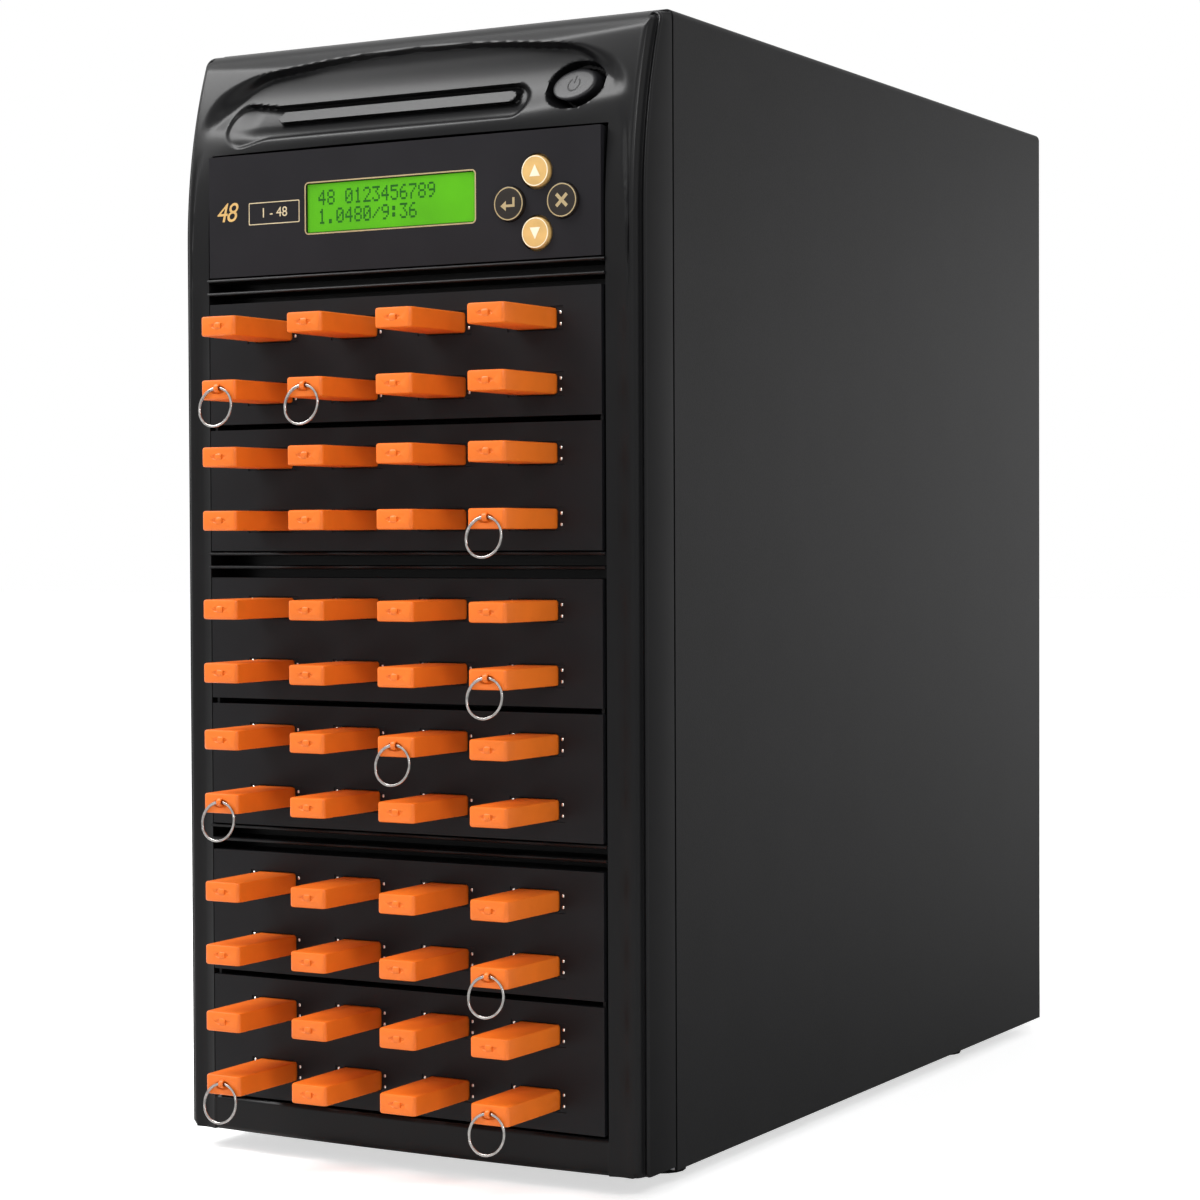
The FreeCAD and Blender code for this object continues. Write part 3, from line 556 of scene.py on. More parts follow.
def bezel_y(x, z):
    """Front of the bezel at a point of its front view."""
    outer = outer_y(x, z)
    inside = inside_arch(x, z)
    if inside <= ARCH_START:
        return outer
    cove = leaned(RIDGE_Y + COVE(max(inside, 0)), z)
    if z < SCOOP_Z:
        return cove if abs(x) > OPEN_X - 0.1 and inside > 0 else outer
    plain = leaned(PLAIN_Y + PLAIN_BOW * (x / PLAIN_X) ** 2, z)
    floor = soft_max(SCOOP(BEZEL_Z1 - z), plain, SCOOP_SOFT)
    bank = BANK + BANK_MORE * step(abs(x), *BANK_X)
    scoop = outer + (floor - outer) * step(inside, ARCH_START, bank)
    y = slotted(x, z, cove + (scoop - cove) * step(z, *SCOOP_TURN))
    w = oval(x, z, WELL_X, WELL_Z, WELL_W, WELL_H)
    if w > 0:
        y = min(y + (WELL_Y - y) * step(w, *WELL_EDGE), WELL_Y)
    return y


def spread(stops):
    """Numbers from stop to stop, each stop with the pace that follows it."""
    out = [stops[0][0]]
    for (a, pace), (b, _) in zip(stops, stops[1:]):
        n = max(1, round((b - a) / pace))
        out += [a + (b - a) * (i + 1) / n for i in range(n)]
    return out


def bezel_front(bm):
    """Front faces, on a grid that is finer where the front turns."""
    side = spread([(OPEN_X, 0.55), (83.6, 0.25), (HALF_W, 1)])
    across = spread([(-OPEN_X, 0.5), (OPEN_X, 1)])
    xs = [-x for x in reversed(side)] + across[1:-1] + side
    below = spread([(BEZEL_Z0, 0.5), (BEZEL_Z0 + 1.5, 2.5), (OPEN_Z0 - 1.4, 0.35), (OPEN_Z0, 1)])
    beside = spread([(OPEN_Z0, 12), (290, 3), (OPEN_Z1, 1)])
    above = spread([(OPEN_Z1, 0.45), (BEZEL_Z1 - CORNER_R, 0.3), (BEZEL_Z1, 1)])
    zs = below + beside[1:] + above[1:]
    grid = {}

    def vert(i, j):
        if (i, j) not in grid:
            x, z = xs[i], zs[j]
            # the corner squares of the grid become quarter discs
            a, b = (abs(x) - HALF_W + CORNER_R) / CORNER_R, (z - BEZEL_Z1 + CORNER_R) / CORNER_R
            if a > 0 and b > 0:
                k = max(a, b) / math.hypot(a, b)
                x = math.copysign(HALF_W - CORNER_R + CORNER_R * a * k, x)
                z = BEZEL_Z1 - CORNER_R + CORNER_R * b * k
            grid[i, j] = bm.verts.new(at(x, bezel_y(x, z), z))
        return grid[i, j]

    for i in range(len(xs) - 1):
        for j in range(len(zs) - 1):
            x, z = (xs[i] + xs[i + 1]) / 2, (zs[j] + zs[j + 1]) / 2
            in_opening = abs(x) <= OPEN_X and OPEN_Z0 <= z <= OPEN_Z1
            if not in_opening and oval(x, z, WELL_X, WELL_Z, HOLE_W, HOLE_H) < 0:
                bm.faces.new((vert(i, j), vert(i + 1, j), vert(i + 1, j + 1), vert(i, j + 1)))


def pulled_back(bm, edges):
    """Vertices of the strip that starts at these edges."""
    made = bmesh.ops.extrude_edge_only(bm, edges=edges)["geom"]
    return {v for v in made if isinstance(v, bmesh.types.BMVert)}


def bezel_walls(bm):
    """Walls from the outline back to the seam, where its corners are squarer, and from the
    openings inwards."""
    square = 0.8                 # how far the round corners turn square
    rim = set()
    for v in pulled_back(bm, [e for e in bm.edges if e.is_boundary]):
        x, z = v.co.x / MM, v.co.z / MM
        a, b = abs(x) - HALF_W + CORNER_R, z - BEZEL_Z1 + CORNER_R
        if a > 0 and b > 0:
            k = (CORNER_R / max(a, b) - 1) * square + 1
            v.co.x = math.copysign(HALF_W - CORNER_R + a * k, x) * MM
            v.co.z = (BEZEL_Z1 - CORNER_R + b * k) * MM
        v.co.y = at(0, WALL_Y, 0).y
        if (abs(x) > HALF_W - NEAR or z < BEZEL_Z0 + NEAR or z > BEZEL_Z1 - NEAR
                or (a > 0 and b > 0)):
            rim.add(v)
    for f in bm.faces:
        if any(v in rim for v in f.verts):
            f.material_index = 1
    for y, inset in GROOVE:
        rim = pulled_back(
            bm, [e for e in bm.edges if e.is_boundary and all(v in rim for v in e.verts)])
        for v in rim:
            x, z = v.co.x / MM, v.co.z / MM
            in_x = step(abs(x), HALF_W - CORNER_R, HALF_W - 0.5)
            in_z = step(z, BEZEL_Z1 - CORNER_R, BEZEL_Z1 - 0.5) if z > BEZEL_Z0 + NEAR else -1
            v.co = at(x - math.copysign(inset * in_x, x), y, z - inset * in_z)


def bezel_ribs(bm):
    """Two thin ribs before a dark channel between the groups of port units."""
    for lower, upper in (("port_faceplate_e", "port_faceplate_d"),
                         ("port_faceplate_c", "port_faceplate_b"),
                         ("port_faceplate_a", "control_faceplate")):
        low, high = corners(lower)[1][2], corners(upper)[0][2]
        for z0 in (high - RIB_BELOW, low + RIB_ABOVE):
            skin(bm, [[at(x, y, z0 + z) for y, z in RIB] for x in (-OPEN_X, OPEN_X)])
        z0, z1 = low - CHANNEL_OVER, high + CHANNEL_OVER
        back = [(CHANNEL_BACK, z0), (CHANNEL_BACK, z1), (CHANNEL_FRONT, z1), (CHANNEL_FRONT, z0)]
        skin(bm, [[at(x, y, z) for y, z in back] for x in (-OPEN_X, OPEN_X)])


def add_bezel():
    bm = bmesh.new()
    bezel_front(bm)
    bezel_walls(bm)
    bezel_ribs(bm)
    obj = link_object("bezel_shell", mesh_of(bm), ["bezel", "bezel_side"], 40)
    piece(obj, "machine", ["front_bezel"])


add_bezel()


# ---- drives ----------------------------------------------
CASE_NARROW = 0.55               # each side comes in by this at the free end
CASE_R_END, CASE_R_BACK = 1.3, 3.4
CASE_EDGE = [(0.7, 0), (0.38, 0.06), (0.12, 0.26), (0, 0.7)]         # inset and height of its edge
RECESS_X = 3.0                   # oval recess in the free end, on both sides of the bridge
RECESS_STEPS = 32
BRIDGE_STEPS, BRIDGE_T = 12, 0.7
# the recess's half height and depth, then the bridge: Y of its feet behind the free end, how far
# it bows forwards and in which curve, Z of its middle, its half height and its width
BRIDGE_PLAIN = (0.95, 0.32, 0.5, 0.42, 0.5, 0.0, 1.0, 2.5)
BRIDGE_RINGED = (1.45, 0.5, 0.35, 1.48, 0.8, 0.5, 1.12, 1.7)
PLUG_X, PLUG_Z, PLUG_L = 6, 2.25, 11.7
PLUG_ROOT, PLUG_BEVEL, PLUG_BEVEL_L, PLUG_WALL, PLUG_DEEP = 0.2, 0.1, 0.3, 0.4, 9
TONGUE, TONGUE_SHORT = rect(-5.6, 5.6, -1.8, -0.2), 0.6              # it ends before the tip


def case_outline():
    """Plan of the casing: rounded free end, sides that widen a little, well rounded port end."""
    half = []
    w = CASE_W / 2
    for i in range(7):
        a = math.radians(90 * i / 6)
        half.append((w - CASE_NARROW - CASE_R_END + CASE_R_END * math.sin(a),
                     CASE_END + CASE_R_END - CASE_R_END * math.cos(a)))
    for t in (0.2, 0.4, 0.6, 0.8):
        y = CASE_END + CASE_R_END + t * (CASE_L - CASE_R_END - CASE_R_BACK)
        half.append((w - CASE_NARROW * (1 - t) ** 1.5, y))
    for i in range(9):
        a = math.radians(90 * i / 8)
        half.append((w - CASE_R_BACK + CASE_R_BACK * math.cos(a),
                     CASE_BACK - CASE_R_BACK + CASE_R_BACK * math.sin(a)))
    return half + [(-x, y) for x, y in reversed(half)]


def case_mesh(high, deep):
    """Casing with the recess in its free end."""
    bm = bmesh.new()
    outline = case_outline()
    y_mid = (CASE_END + CASE_BACK) / 2
    layers = [(inset, rise - CASE_T / 2) for inset, rise in CASE_EDGE]
    layers += [(inset, -z) for inset, z in reversed(layers)]
    rings = []
    for inset, z in layers:
        kx = 1 - inset / (CASE_W / 2)
        ky = 1 - inset / (CASE_L / 2)
        rings.append([local(x * kx, y_mid + (y - y_mid) * ky, z) for x, y in outline])
    skin(bm, rings)
    body = mesh_of(bm)

    bm = bmesh.new()
    steps = ((CASE_END - 1, 1.08), (CASE_END, 1.0), (CASE_END + deep * 0.6, 0.9),
             (CASE_END + deep, 0.7))
    skin(bm, [[local(RECESS_X * k * c, y, high * k * s) for c, s in circle(RECESS_STEPS)]
              for y, k in steps])
    return subtract(body, mesh_of(bm))


def drive_template(bridge):
    """Casing with its lanyard bridge, which bows out where a ring hangs on it, and its plug."""
    high, deep, feet, bow, power, z_mid, half, wide = bridge
    bm = bmesh.new()
    bm.from_mesh(case_mesh(high, deep))

    turns = [math.pi * i / BRIDGE_STEPS for i in range(BRIDGE_STEPS + 1)]
    path = [local(0, CASE_END + feet - bow * math.sin(a) ** power, z_mid - half * math.cos(a))
            for a in turns]
    outs = [Vector((0, -math.sin(a), -math.cos(a))) for a in turns]
    wire(bm, path, outs, [Vector((1, 0, 0))] * len(turns), wide * MM, BRIDGE_T * MM)

    def level(points, y):
        return [local(x, y, z) for x, z in points]

    def opening(less):
        x, z = PLUG_X - less, PLUG_Z - less
        return rect(-x, x, -z, z)

    # metal plug, open at its tip, with the contact tongue inside
    y_tip = CASE_BACK + PLUG_L
    y_floor = y_tip - PLUG_DEEP
    skin(bm, [level(opening(0), CASE_BACK - PLUG_ROOT), level(opening(0), y_tip - PLUG_BEVEL_L),
              level(opening(PLUG_BEVEL), y_tip), level(opening(PLUG_WALL), y_tip),
              level(opening(PLUG_WALL), y_floor)], 1)
    skin(bm, [level(TONGUE, y) for y in (y_floor, y_tip - TONGUE_SHORT)], 2)
    return mesh_of(bm)


RING_MEAN, RING_TURNS, RING_STEPS = 6.3, 2.0, 120
RING_START, RING_TILT = 200, -10         # degrees; the ring leans forwards
RING_SWELL, RING_SIDE = 0.06, 0.21       # how far the turns lie apart, outwards and sideways
RING_CROSS = 14                          # how fast one turn crosses over to the other
RING_W, RING_T = 0.38, 0.72
HINGE_Y, HINGE_UP = CASE_END - 0.2, 0.5  # where the ring's wire lies in the bridge


def ring_mesh(r, c):
    """Split ring of two turns that hangs from the bridge."""
    path, outs = [], []
    for i in range(RING_STEPS + 1):
        t = i / RING_STEPS
        a = 2 * math.pi * RING_TURNS * t + math.radians(RING_START)
        radius = RING_MEAN + RING_SWELL * math.sin(2 * math.pi * t)
        aside = RING_SIDE * math.tanh((t - 0.5) * RING_CROSS)
        out = Vector((math.cos(a), 0, math.sin(a)))
        path.append((Vector((0, aside, -RING_MEAN)) + out * radius) * MM)
        outs.append(out)
    bm = bmesh.new()
    wire(bm, path, outs, [BACKWARDS] * len(path), RING_W * MM, RING_T * MM, corner=3)
    mesh = mesh_of(bm)
    x, z = port(r, c)
    hang = Matrix.Translation(at(x, HINGE_Y, z + HINGE_UP))
    mesh.transform(hang @ Matrix.Rotation(math.radians(RING_TILT), 4, "X"))
    return mesh


def add_drives():
    plain, ringed = drive_template(BRIDGE_PLAIN), drive_template(BRIDGE_RINGED)
    finishes = ("drive", "plug", "inlet")
    singles = [SOURCE] + RINGED
    for r, c in singles:
        node = "drive_source" if (r, c) == SOURCE else "drive_r%02d_c%d" % (r, c)
        x, z = port(r, c)
        template = ringed if (r, c) in RINGED else plain
        obj = copies(node + "_casing", template, [at(x, 0, z)], finishes)
        piece(obj, node, [node])
    for r, c in RINGED:
        node = "key_ring_r%02d_c%d" % (r, c)
        obj = link_object(node + "_coil", ring_mesh(r, c), ["ring"], 60)
        piece(obj, node, [node])
    for i, bay in enumerate(BAYS):
        node = "drives_bay_" + bay
        spots = [port(r, c) for r in (2 * i + 1, 2 * i + 2) for c in range(1, COLS + 1)
                 if (r, c) not in singles]
        obj = copies(node + "_casings", plain, [at(x, 0, z) for x, z in spots], finishes)
        piece(obj, node, [node])


add_drives()


# ---- port trim -------------------------------------------
SHELL_W, SHELL_H, SHELL_R, SHELL_WALL = 14.2, 6.7, 0.8, 0.8
SHELL_HOLE_R = 0.4
SHELL_MOUTH, SHELL_BACK, SHELL_TIP = FACE_Y + 4.9, -6.0, -7.2
LINER_W, LINER_H, LINER_R = 20.2, 7.4, 0.2
LINER_HOLE_W, LINER_HOLE_H, LINER_HOLE_R = 15.8, 6.9, 1.2
LINER_BACK, LINER_FRONT = FACE_Y + 1.9, FACE_Y + 0.3
EAR_X, EAR_W, EAR_R = 9.1, 0.8, 0.3
EAR_SHORT, EAR_TALL = (1.8, 1.0), (2.5, 1.5)      # Z from the port's middle, and height
EAR_STEPS = [(0, FACE_Y + 2.1), (0, FACE_Y + 0.2), (0.2, FACE_Y + 0.02)]      # inset and Y


def add_ports():
    """Sockets and liners in the windows, and the small bright spring ears beside them."""
    ears, shells, liners = bmesh.new(), bmesh.new(), bmesh.new()
    hole_w, hole_h = SHELL_W - 2 * SHELL_WALL, SHELL_H - 2 * SHELL_WALL
    for r in range(1, ROWS + 1):
        for c in range(1, COLS + 1):
            x, z = port(r, c)
            shell = rounded_rect(x, z, SHELL_W, SHELL_H, SHELL_R)
            hole = rounded_rect(x, z, hole_w, hole_h, SHELL_HOLE_R)
            skin(shells, [shell(0, SHELL_BACK), shell(0, SHELL_MOUTH),
                          hole(0, SHELL_MOUTH), hole(0, SHELL_TIP)])
            frame_shape(liners, rounded_rect(x, z, LINER_W, LINER_H, LINER_R),
                        rounded_rect(x, z, LINER_HOLE_W, LINER_HOLE_H, LINER_HOLE_R),
                        LINER_BACK, LINER_FRONT)
            for sx in (-1, 1):
                for sz in (-1, 1):
                    # the upper ears at the left are taller
                    rise, tall = EAR_TALL if sx < 0 < sz else EAR_SHORT
                    ear = rounded_rect(x + sx * EAR_X, z + sz * rise, EAR_W, tall, EAR_R)
                    skin(ears, [ear(inset, y) for inset, y in EAR_STEPS])
    piece(link_object("port_ears", mesh_of(ears), ["ear"]), "machine")
    piece(link_object("port_liners", mesh_of(liners), ["face"]), "machine")
    piece(link_object("port_shells", mesh_of(shells), ["socket"]), "machine",
          ["usb_sockets"])


add_ports()


# ---- control unit ----------------------------------------
LCD_X, LCD_Z, LCD_W, LCD_H = -3.2, 315.8, 65.4, 16.3
LCD_FRONT = FACE_Y + 0.6
LCD_LINES = ["48 0123456789", "1.0480/9:36"]
CHAR_PITCH, LINE_PITCH, DOT_W, DOT_H = 3.55, 6.1, 0.56, 0.68
DOT_GAP_X, DOT_GAP_Z, DOT_DEPTH = 0.02, 0.03, 0.04
TEXT_LEFT, TEXT_TOP = LCD_X - 8 * CHAR_PITCH + 0.3, LCD_Z + 5.75
PRINT_BACK, PRINT_FRONT, OUTLINE_FRONT = FACE_Y + 0.02, FACE_Y - 0.05, FACE_Y - 0.06
DIGITS = {
    "0": "01110 10001 10011 10101 11001 10001 01110",
    "1": "00100 01100 00100 00100 00100 00100 01110",
    "2": "01110 10001 00001 00010 00100 01000 11111",
    "3": "11111 00010 00100 00010 00001 10001 01110",
    "4": "00010 00110 01010 10010 11111 00010 00010",
    "5": "11111 10000 11110 00001 00001 10001 01110",
    "6": "00110 01000 10000 11110 10001 10001 01110",
    "7": "11111 00001 00010 00100 01000 01000 01000",
    "8": "01110 10001 10001 01110 10001 10001 01110",
    "9": "01110 10001 10001 01111 00001 00010 01100",
    "/": "00000 00001 00010 00100 01000 10000 00000",
    ":": "00000 01100 01100 00000 01100 01100 00000",
    ".": "00000 00000 00000 00000 00000 01100 01100",
    " ": "00000 00000 00000 00000 00000 00000 00000",
}


def add_display():
    bm = bmesh.new()
    for row, text in enumerate(LCD_LINES):
        top = TEXT_TOP - row * LINE_PITCH
        for k, char in enumerate(text):
            for j, line in enumerate(DIGITS[char].split()):
                for i, on in enumerate(line):
                    if on == "1":
                        x = TEXT_LEFT + k * CHAR_PITCH + i * (DOT_W + DOT_GAP_X)
                        z = top - j * (DOT_H + DOT_GAP_Z)
                        flat_shape(bm, rect(x, x + DOT_W, z, z - DOT_H),
                                   LCD_FRONT, LCD_FRONT - DOT_DEPTH)
    piece(link_object("lcd_characters", mesh_of(bm), ["lcd_text"]), "machine")

    bm = bmesh.new()
    outer = rounded_rect(LCD_X, LCD_Z, LCD_W + 1.0, LCD_H + 1.0, 1.6, n=6)
    inner = rounded_rect(LCD_X, LCD_Z, LCD_W + 0.1, LCD_H + 0.1, 1.1, n=6)
    frame_shape(bm, outer, inner, PRINT_BACK, OUTLINE_FRONT)
    piece(link_object("lcd_outline", mesh_of(bm), ["tan"]), "machine")


KEY_FRONT = FACE_Y - 1.2
KEY_RIM = 0.25                   # the printed rim lies this far inside the key's edge
# inset and Y of a key from its back to its front
KEY_STEPS = [(-0.9, FACE_Y + 3.0), (-0.9, FACE_Y + 2.35), (0, FACE_Y + 2.3),
             (0, KEY_FRONT + 0.45), (0.12, KEY_FRONT + 0.18), (0.4, KEY_FRONT + 0.04),
             (0.8, KEY_FRONT), (2.0, KEY_FRONT)]
KEYS = {"key_up": "key_gold", "key_down": "key_gold", "key_enter": "key_dark",
        "key_escape": "key_dark"}
# finish, finish of the marks, width, and width of the printed rim
KEY_STYLES = {"key_gold": ("gold", "white", 10.0, 0.3), "key_dark": ("key_dark", "tan", 11.0, 0.36)}
RETURN_ARROW = [(2.3, 1.9), (2.3, -1.1), (-0.9, -1.1), (-0.9, -2.3), (-2.9, -0.7), (-0.9, 0.9),
                (-0.9, -0.3), (1.5, -0.3), (1.5, 1.9)]
CROSS_REACH, CROSS_HALF = 1.9, 0.38


def key_marks(bm, name, x, z):
    """Printed legend on a key: triangles, a return arrow and a cross."""
    y0, y1 = KEY_FRONT + 0.02, KEY_FRONT - 0.05
    if name in ("key_up", "key_down"):
        s = 1 if name == "key_up" else -1
        marks = [([(-1.9, -1.7 * s), (1.9, -1.7 * s), (0, 2.0 * s)], y1)]
    elif name == "key_enter":
        marks = [(RETURN_ARROW, y1)]
    else:
        a, b = CROSS_REACH, CROSS_HALF
        # the bars lie at slightly different heights where they cross
        marks = [([(-a - b, s * (b - a)), (b - a, -s * (a + b)), (a + b, s * (a - b)),
                   (a - b, s * (a + b))], y1 + 0.01 + 0.01 * s) for s in (-1, 1)]
    for shape, front in marks:
        flat_shape(bm, [(x + p, z + q) for p, q in shape], y0, front, 1)


def add_keys():
    for name, style in KEYS.items():
        finish, mark, wide, rim = KEY_STYLES[style]
        x, _, z = mid(name)
        bm = bmesh.new()
        outline = disc(x, z, wide)
        skin(bm, [outline(inset, y) for inset, y in KEY_STEPS])
        key_marks(bm, name, x, z)
        outer = wide - 2 * KEY_RIM
        frame_shape(bm, disc(x, z, outer), disc(x, z, outer - 2 * rim),
                    KEY_FRONT + 0.05, KEY_FRONT - 0.03, 1)
        piece(link_object(name + "_cap", mesh_of(bm), [finish, mark]), name, [name])


def text_mesh(text, x, z, size, y0, y1, slant=0.0, spacing=1.0):
    curve = bpy.data.curves.new("marks", "FONT")
    curve.body = text
    curve.size = size * MM
    curve.shear = slant
    curve.space_character = spacing
    curve.align_x = "CENTER"
    curve.align_y = "CENTER"
    curve.extrude = (y0 - y1) / 2 * MM
    curve.resolution_u = 4
    obj = bpy.data.objects.new("marks", curve)
    bpy.context.scene.collection.objects.link(obj)
    bpy.context.view_layer.update()
    mesh = bpy.data.meshes.new_from_object(
        obj.evaluated_get(bpy.context.evaluated_depsgraph_get()))
    upright = Matrix.Rotation(math.pi / 2, 4, "X")
    mesh.transform(Matrix.Translation(at(x, (y0 + y1) / 2, z)) @ upright)
    bpy.data.objects.remove(obj)
    mesh.materials.clear()
    return mesh


COUNT_X, COUNT_Z, COUNT_SIZE, COUNT_SLANT, COUNT_SPACING = -68.4, 316.0, 9.0, 0.25, 0.9
RANGE_X, RANGE_Z, RANGE_SIZE = -48.8, 315.3, 4.6
BOX_W, BOX_H, BOX_LINE = 20.6, 7.4, 0.3


def add_numbers():
    """Plain numbers printed left of the display: the count of ports and their range."""
    count = text_mesh("48", COUNT_X, COUNT_Z, COUNT_SIZE, PRINT_BACK, PRINT_FRONT, COUNT_SLANT,
                      COUNT_SPACING)
    piece(link_object("print_count", count, ["gold"]), "machine")
    numbers = text_mesh("1 - 48", RANGE_X, RANGE_Z, RANGE_SIZE, PRINT_BACK, PRINT_FRONT)
    piece(link_object("print_range", numbers, ["pale"]), "machine")
    bm = bmesh.new()
    inner = rounded_rect(RANGE_X, RANGE_Z, BOX_W - 2 * BOX_LINE, BOX_H - 2 * BOX_LINE, 0.3)
    frame_shape(bm, rounded_rect(RANGE_X, RANGE_Z, BOX_W, BOX_H, 0.4), inner,
                PRINT_BACK, PRINT_FRONT)
    piece(link_object("print_box", mesh_of(bm), ["pale"]), "machine")


add_display()
add_keys()
add_numbers()


# ---- power button ----------------------------------------
BTN_W, BTN_H, BTN_STEPS = 15.4, 10.8, 64
BTN_SLOPE = 5.0 / 7.0                    # its face leans back with the bezel
BTN_BACK, BTN_SUNK, MARK_T = -7, 0.1, 0.05
BTN_EDGE = [(0, 1.2), (0.1, 0.7), (0.35, 0.35), (0.75, 0.12), (1.3, 0.02), (3.0, 0)]
ARC_IN, ARC_OUT, ARC_RISE = 1.75, 2.25, 1.1
ARC_START, ARC_SPAN, ARC_STEPS = 125, 290, 24            # degrees


def add_power_button():
    x, _, z = mid("power_button")
    y_face = corners("power_button")[0][1] + BTN_H / 2 * BTN_SLOPE + BTN_SUNK

    def on_face(px, pz, lift):
        return at(x + px, y_face + pz * BTN_SLOPE - lift, z + pz)

    def outline(inset, push):
        return [on_face((BTN_W / 2 - inset) * c, (BTN_H / 2 - inset) * s, -push)
                for c, s in circle(BTN_STEPS)]

    bm = bmesh.new()
    back = [at(p.x / MM, BTN_BACK, p.z / MM) for p in outline(0, 0)]
    skin(bm, [back] + [outline(inset, push) for inset, push in BTN_EDGE])

    # stand-by symbol: open ring and bar
    rows = []
    for i in range(ARC_STEPS + 1):
        a = math.radians(ARC_START + ARC_SPAN * i / ARC_STEPS)
        rows.append([on_face(r * math.cos(a), r * math.sin(a) * ARC_RISE, lift) for r, lift in
                     ((ARC_IN, -MARK_T), (ARC_IN, MARK_T), (ARC_OUT, MARK_T), (ARC_OUT, -MARK_T))])
    skin(bm, rows, 1)
    bar = rect(-0.25, 0.25, 0.4, 2.9)
    # the bar stands a hair higher than the ring
    skin(bm, [[on_face(a, b, lift) for a, b in bar] for lift in (-MARK_T, MARK_T + 0.01)], 1)
    piece(link_object("power_cap", mesh_of(bm), ["button", "symbol"], 45), "power_button",
          ["power_button"])


add_power_button()


# ---- rear ------------------------------------------------
SCREW_STEPS = 32
COVER_SCREW_R, COVER_SCREW_H, COVER_SCREW_L = 3.4, 2.0, 6
FAN_SCREW_R, FAN_SCREW_H, FAN_SCREW_L = 3.6, 1.8, 12
CAD_REACH = math.cos(math.pi / 12)       # of a CAD screw head, which has twelve sides
GUARD_STEPS, GUARD_RADII, GUARD_WIRE = 96, (7.8, 13.3, 18.8, 24.3, 29.8, 35.3), 1.1
GUARD_Y, GUARD_OFF = 1.7, 0.15           # the rings lie this far outwards, the cross inwards
CROSS_RUN = [8.0, 20.0, 34.0, 42.0]
EYE_STEPS, EYE_R, EYE_W, EYE_T = 32, 3.4, 1.2, 1.8


def screw_template(radius, height, reach):
    """Pan head with a cross recess, axis +Y, seat at y = 0."""
    bm = bmesh.new()
    profile = [(radius * 0.5, -reach), (radius * 0.5, 0), (radius, 0), (radius, height * 0.35),
               (radius * 0.92, height * 0.7), (radius * 0.6, height * 0.95),
               (radius * 0.25, height)]
    skin(bm, [[local(r * c, y, r * s) for c, s in circle(SCREW_STEPS)] for r, y in profile])
    body = mesh_of(bm)
    w, l = radius * 0.16, radius * 0.62
    for turn in (20, 110):
        bm = bmesh.new()
        skin(bm, [[local(a * k, y, b) for a, b in rect(-l, l, -w, w)]
                  for y, k in ((height * 0.35, 0.6), (height + 0.5, 1.0))])
        tool = mesh_of(bm)
        tool.transform(Matrix.Rotation(math.radians(turn), 4, "Y"))
        body = subtract(body, tool)
    return body


def add_cover_screws():
    low, high = corners("cover_screws")
    reach = COVER_SCREW_R * CAD_REACH
    x, y = high[0] - reach, high[1] - COVER_SCREW_H
    z_low, z_high = low[2] + reach, high[2] - reach
    places = [at(s * x, y, z) for s in (-1, 1) for z in (z_low, (z_low + z_high) / 2, z_high)]
    template = screw_template(COVER_SCREW_R, COVER_SCREW_H, COVER_SCREW_L)
    obj = copies("cover_screw_heads", template, places, ["black_screw"])
    piece(obj, "machine", ["cover_screws"])


def add_fan_trim():
    """Screws of the fan, and its wire guard: rings and a cross with an eye at each screw."""
    x, _, z = mid("fan_screws")
    low, high = corners("fan_screws")
    p = (high[0] - low[0]) / 2 - FAN_SCREW_R * CAD_REACH
    quarters = [(sx, sz) for sx in (-1, 1) for sz in (-1, 1)]
    places = [at(x + sx * p, high[1] - FAN_SCREW_H, z + sz * p) for sx, sz in quarters]
    template = screw_template(FAN_SCREW_R, FAN_SCREW_H, FAN_SCREW_L)
    obj = copies("fan_screw_heads", template, places, ["screw"])
    piece(obj, "machine", ["fan_screws"])

    y = corners("fan_guard")[0][1] + GUARD_Y
    bm = bmesh.new()

    def round_wire(centre, radius, n, w, t):
        dirs = [Vector((c, 0, s)) for c, s in circle(n)]
        wire(bm, [centre + d * radius * MM for d in dirs], dirs, [BACKWARDS] * n, w * MM, t * MM,
             corner=3, closed=True)

    for radius in GUARD_RADII:
        round_wire(at(x, y + GUARD_OFF, z), radius, GUARD_STEPS, GUARD_WIRE, GUARD_WIRE)
    for sx, sz in quarters:
        d = Vector((sx, 0, sz)).normalized()
        side = Vector((-sz, 0, sx)).normalized()
        run = CROSS_RUN + [p * math.sqrt(2)]
        wire(bm, [at(x, y - GUARD_OFF, z) + d * r * MM for r in run], [side] * len(run),
             [BACKWARDS] * len(run), GUARD_WIRE * MM, GUARD_WIRE * MM, corner=3)
        round_wire(at(x + sx * p, y - 0.1, z + sz * p), EYE_R, EYE_STEPS, EYE_W, EYE_T)
    piece(link_object("fan_guard_wire", mesh_of(bm), ["screw"], 60), "machine",
          ["fan_guard"])


add_cover_screws()
add_fan_trim()


# ---- room and light --------------------------------------
FLOOR_HALF, FLOOR_GREY, FLOOR_GLOW = 8, 0.86, 0.62       # half width in metres
FLOOR_ROUGH, FLOOR_SPEC = 0.9, 0.1
WORLD_LIGHT = 0.45
# place and target, in metres, size and power
LAMPS = {
    "top_strip": ((-0.76, -0.62, 1.42), (0, -0.14, 0.36), (0.5, 1.2), 27),
    "front_box": ((0.5, -1.5, 1.0), (0, -0.1, 0.25), (0.6, 0.6), 3),
    "side_box": ((1.2, -1.05, 1.05), (0, -0.15, 0.25), (0.35, 0.35), 8),
    "back_strip": ((0.4, 1.25, 0.26), (0.09, 0.15, 0.15), (0.4, 0.5), 0.9),
}


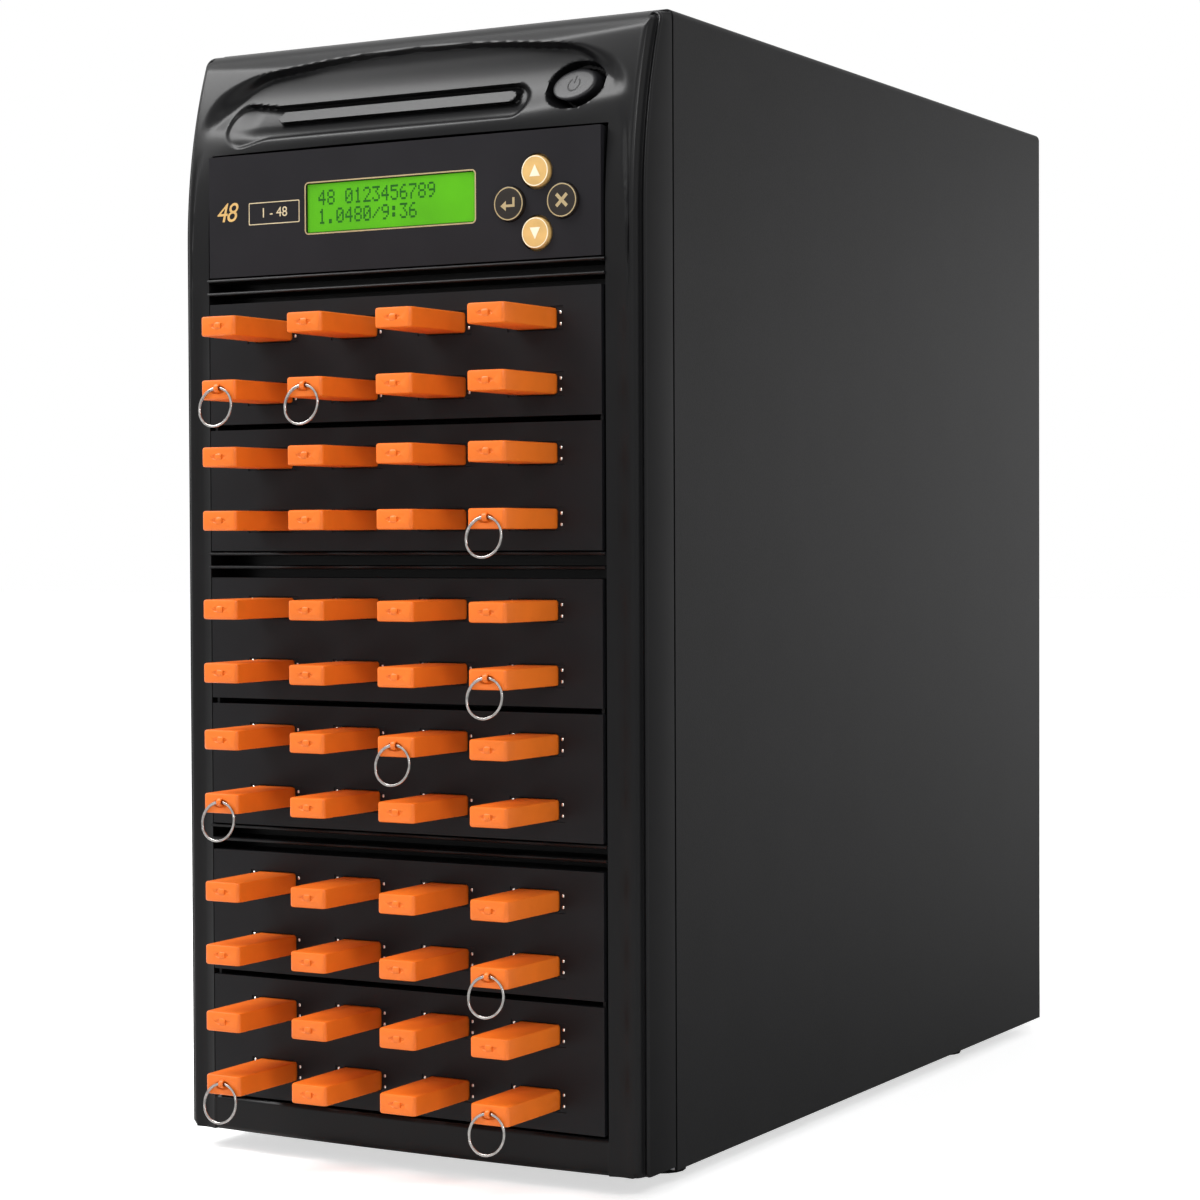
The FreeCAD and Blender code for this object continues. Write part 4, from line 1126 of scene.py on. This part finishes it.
def add_floor():
    """Pale floor that keeps the shadow and glows for the camera alone."""
    bm = bmesh.new()
    bmesh.ops.create_grid(bm, x_segments=4, y_segments=4, size=FLOOR_HALF)
    mesh = mesh_of(bm)
    floor = bpy.data.objects.new("floor", mesh)
    bpy.context.scene.collection.objects.link(floor)
    m = bpy.data.materials.new("pale_floor")
    m.use_nodes = True
    nodes, link = m.node_tree.nodes, m.node_tree.links.new
    shader = nodes["Principled BSDF"]
    shader.inputs["Base Color"].default_value = (FLOOR_GREY, FLOOR_GREY, FLOOR_GREY, 1)
    shader.inputs["Roughness"].default_value = FLOOR_ROUGH
    shader.inputs["Specular IOR Level"].default_value = FLOOR_SPEC
    path = nodes.new("ShaderNodeLightPath")
    glow = nodes.new("ShaderNodeEmission")
    total = nodes.new("ShaderNodeAddShader")
    gain = nodes.new("ShaderNodeMath")
    gain.operation = "MULTIPLY"
    gain.inputs[1].default_value = FLOOR_GLOW
    link(path.outputs["Is Camera Ray"], gain.inputs[0])
    link(gain.outputs[0], glow.inputs["Strength"])
    link(shader.outputs[0], total.inputs[0])
    link(glow.outputs[0], total.inputs[1])
    link(total.outputs[0], nodes["Material Output"].inputs["Surface"])
    mesh.materials.append(m)


def add_world():
    """White where the camera, gloss or glass sees it, and WORLD_LIGHT as light."""
    world = bpy.data.worlds.new("studio")
    bpy.context.scene.world = world
    world.use_nodes = True
    nodes, link = world.node_tree.nodes, world.node_tree.links.new
    back = nodes["Background"]
    back.inputs["Color"].default_value = (1, 1, 1, 1)
    path = nodes.new("ShaderNodeLightPath")
    seen, also = nodes.new("ShaderNodeMath"), nodes.new("ShaderNodeMath")
    seen.operation = also.operation = "MAXIMUM"
    level = nodes.new("ShaderNodeMapRange")
    level.inputs["To Min"].default_value = WORLD_LIGHT
    level.inputs["To Max"].default_value = 1.0
    link(path.outputs["Is Camera Ray"], seen.inputs[0])
    link(path.outputs["Is Glossy Ray"], seen.inputs[1])
    link(seen.outputs[0], also.inputs[0])
    link(path.outputs["Is Transmission Ray"], also.inputs[1])
    link(also.outputs[0], level.inputs["Value"])
    link(level.outputs["Result"], back.inputs["Strength"])


def add_lamp(name, place, target, size, power):
    data = bpy.data.lights.new(name, "AREA")
    data.shape = "RECTANGLE"
    data.size, data.size_y = size
    data.energy = power
    lamp = bpy.data.objects.new(name, data)
    bpy.context.scene.collection.objects.link(lamp)
    lamp.location = place
    lamp.rotation_mode = "QUATERNION"
    lamp.rotation_quaternion = (Vector(target) - Vector(place)).to_track_quat("-Z", "Y")


add_floor()
add_world()
for lamp_name, settings in LAMPS.items():
    add_lamp(lamp_name, *settings)
